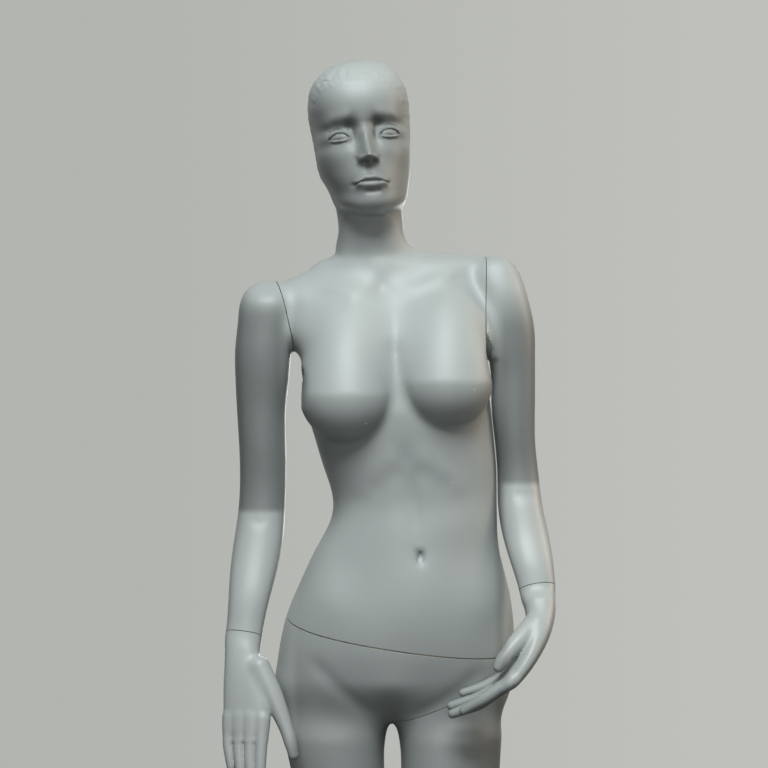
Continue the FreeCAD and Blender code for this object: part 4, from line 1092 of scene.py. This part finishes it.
for part in frame["record"]["subparts"]:
    if part["material_slot"] in fittings:
        mesh = frame["nodes"][part["node"]].data
        mesh.materials.clear()
        mesh.materials.append(fittings[part["material_slot"]])

# ---- studio -------------------------------------------------------------------------------
# A round pale floor that fades into plain pale surroundings, open on every side, with a broad
# soft light above and in front of the figure, and dimmer ones behind it.

BACKDROP_LEFT = (0.446, 0.458, 0.431, 1)
BACKDROP_RIGHT = (0.521, 0.527, 0.499, 1)
FLOOR_GREY = (0.42, 0.43, 0.41, 1)
FLOOR_RADIUS, FLOOR_SIDES = 4.6, 96
FADE_START, FADE_END = 1.2, 4.5             # radii between which the floor fades out
SPREAD = (-0.11, 0.15)                      # sideways slope of a look from left to right tone
AMBIENT = (0.063, 0.0665, 0.07, 1)          # what the surroundings add to the light

floor_finish = Finish("studio_floor", Base_Color=FLOOR_GREY, Roughness=0.9,
                      Specular_IOR_Level=0.1)
across, along = floor_finish.axis("X"), floor_finish.axis("Y")
radius_squared = across * across + along * along
floor_finish.feed("Alpha", 1 - radius_squared.above(FADE_START ** 2, FADE_END ** 2))
turns = [2 * pi * k / FLOOR_SIDES for k in range(FLOOR_SIDES)]
mesh = bpy.data.meshes.new("studio_floor")
mesh.from_pydata([(FLOOR_RADIUS * cos(turn), FLOOR_RADIUS * sin(turn), 0) for turn in turns],
                 [], [range(FLOOR_SIDES)])
floor = bpy.data.objects.new("studio_floor", mesh)
floor.visible_diffuse = floor.visible_glossy = False
bpy.context.scene.collection.objects.link(floor)
mesh.materials.append(floor_finish.material)

scene = bpy.context.scene
scene.view_settings.view_transform = "Standard"
scene.world = bpy.data.worlds.new("studio")
scene.world.use_nodes = True
sky = scene.world.node_tree
across, spread, shown, seen, path, way = [sky.nodes.new("ShaderNode" + kind) for kind in (
    "SeparateXYZ", "MapRange", "MixRGB", "MixRGB", "LightPath", "TexCoord")]
spread.inputs["From Min"].default_value, spread.inputs["From Max"].default_value = SPREAD
shown.inputs[1].default_value, shown.inputs[2].default_value = BACKDROP_LEFT, BACKDROP_RIGHT
seen.inputs[1].default_value = AMBIENT
for source, socket in ((way.outputs["Generated"], across.inputs[0]),
                       (across.outputs["X"], spread.inputs["Value"]),
                       (spread.outputs[0], shown.inputs[0]), (shown.outputs[0], seen.inputs[2]),
                       (path.outputs["Is Camera Ray"], seen.inputs[0]),
                       (seen.outputs[0], sky.nodes["Background"].inputs["Color"])):
    sky.links.new(source, socket)


def area_light(name, place, aim, size, power, colour):
    data = bpy.data.lights.new(name, "AREA")
    data.shape, data.size, data.size_y = "RECTANGLE", size[0], size[1]
    data.energy, data.color = power, colour
    light = bpy.data.objects.new(name, data)
    light.location = place
    light.rotation_euler = (Vector(aim) - Vector(place)).to_track_quat("-Z", "Y").to_euler()
    light.visible_camera = False
    scene.collection.objects.link(light)


area_light("key_above", (-0.1, -1.9, 3.5), (0.0, 0.0, 1.3), (1.5, 1.2), 118, (0.95, 1.0, 1.0))
area_light("front_fill", (-0.1, -4.2, 1.5), (0.0, 0.0, 1.25), (0.8, 1.2), 33, (1.0, 1.0, 1.0))
area_light("back_panel", (0.0, 1.6, 1.7), (0.0, 0.0, 1.7), (3.4, 2.4), 14.5, (0.98, 1.0, 0.95))
area_light("rear_fill", (0.5, 3.6, 1.4), (0.0, 0.0, 1.1), (0.8, 1.2), 42, (1.0, 1.0, 1.0))
area_light("warm_side", (1.6, 0.15, 1.9), (0.0, 0.0, 1.6), (0.3, 1.0), 13, (1.0, 0.80, 0.62))

# ---- camera -------------------------------------------------------------------------------
# Level with the upper ribs, three metres in front of the figure, with a long lens.

VIEW_DISTANCE, VIEW_X, VIEW_HEIGHT = 3.0, -0.020, 1.330
VIEW_WIDTH = 1.0752                     # metres across the view at the figure
SENSOR_WIDTH = 36

camera_data = bpy.data.cameras.new("camera")
camera_data.sensor_width = SENSOR_WIDTH
camera_data.lens = SENSOR_WIDTH * VIEW_DISTANCE / VIEW_WIDTH
camera = bpy.data.objects.new("camera", camera_data)
camera.location = (VIEW_X, -VIEW_DISTANCE, VIEW_HEIGHT)
camera.rotation_euler = (pi / 2, 0, 0)
scene.collection.objects.link(camera)
scene.camera = camera
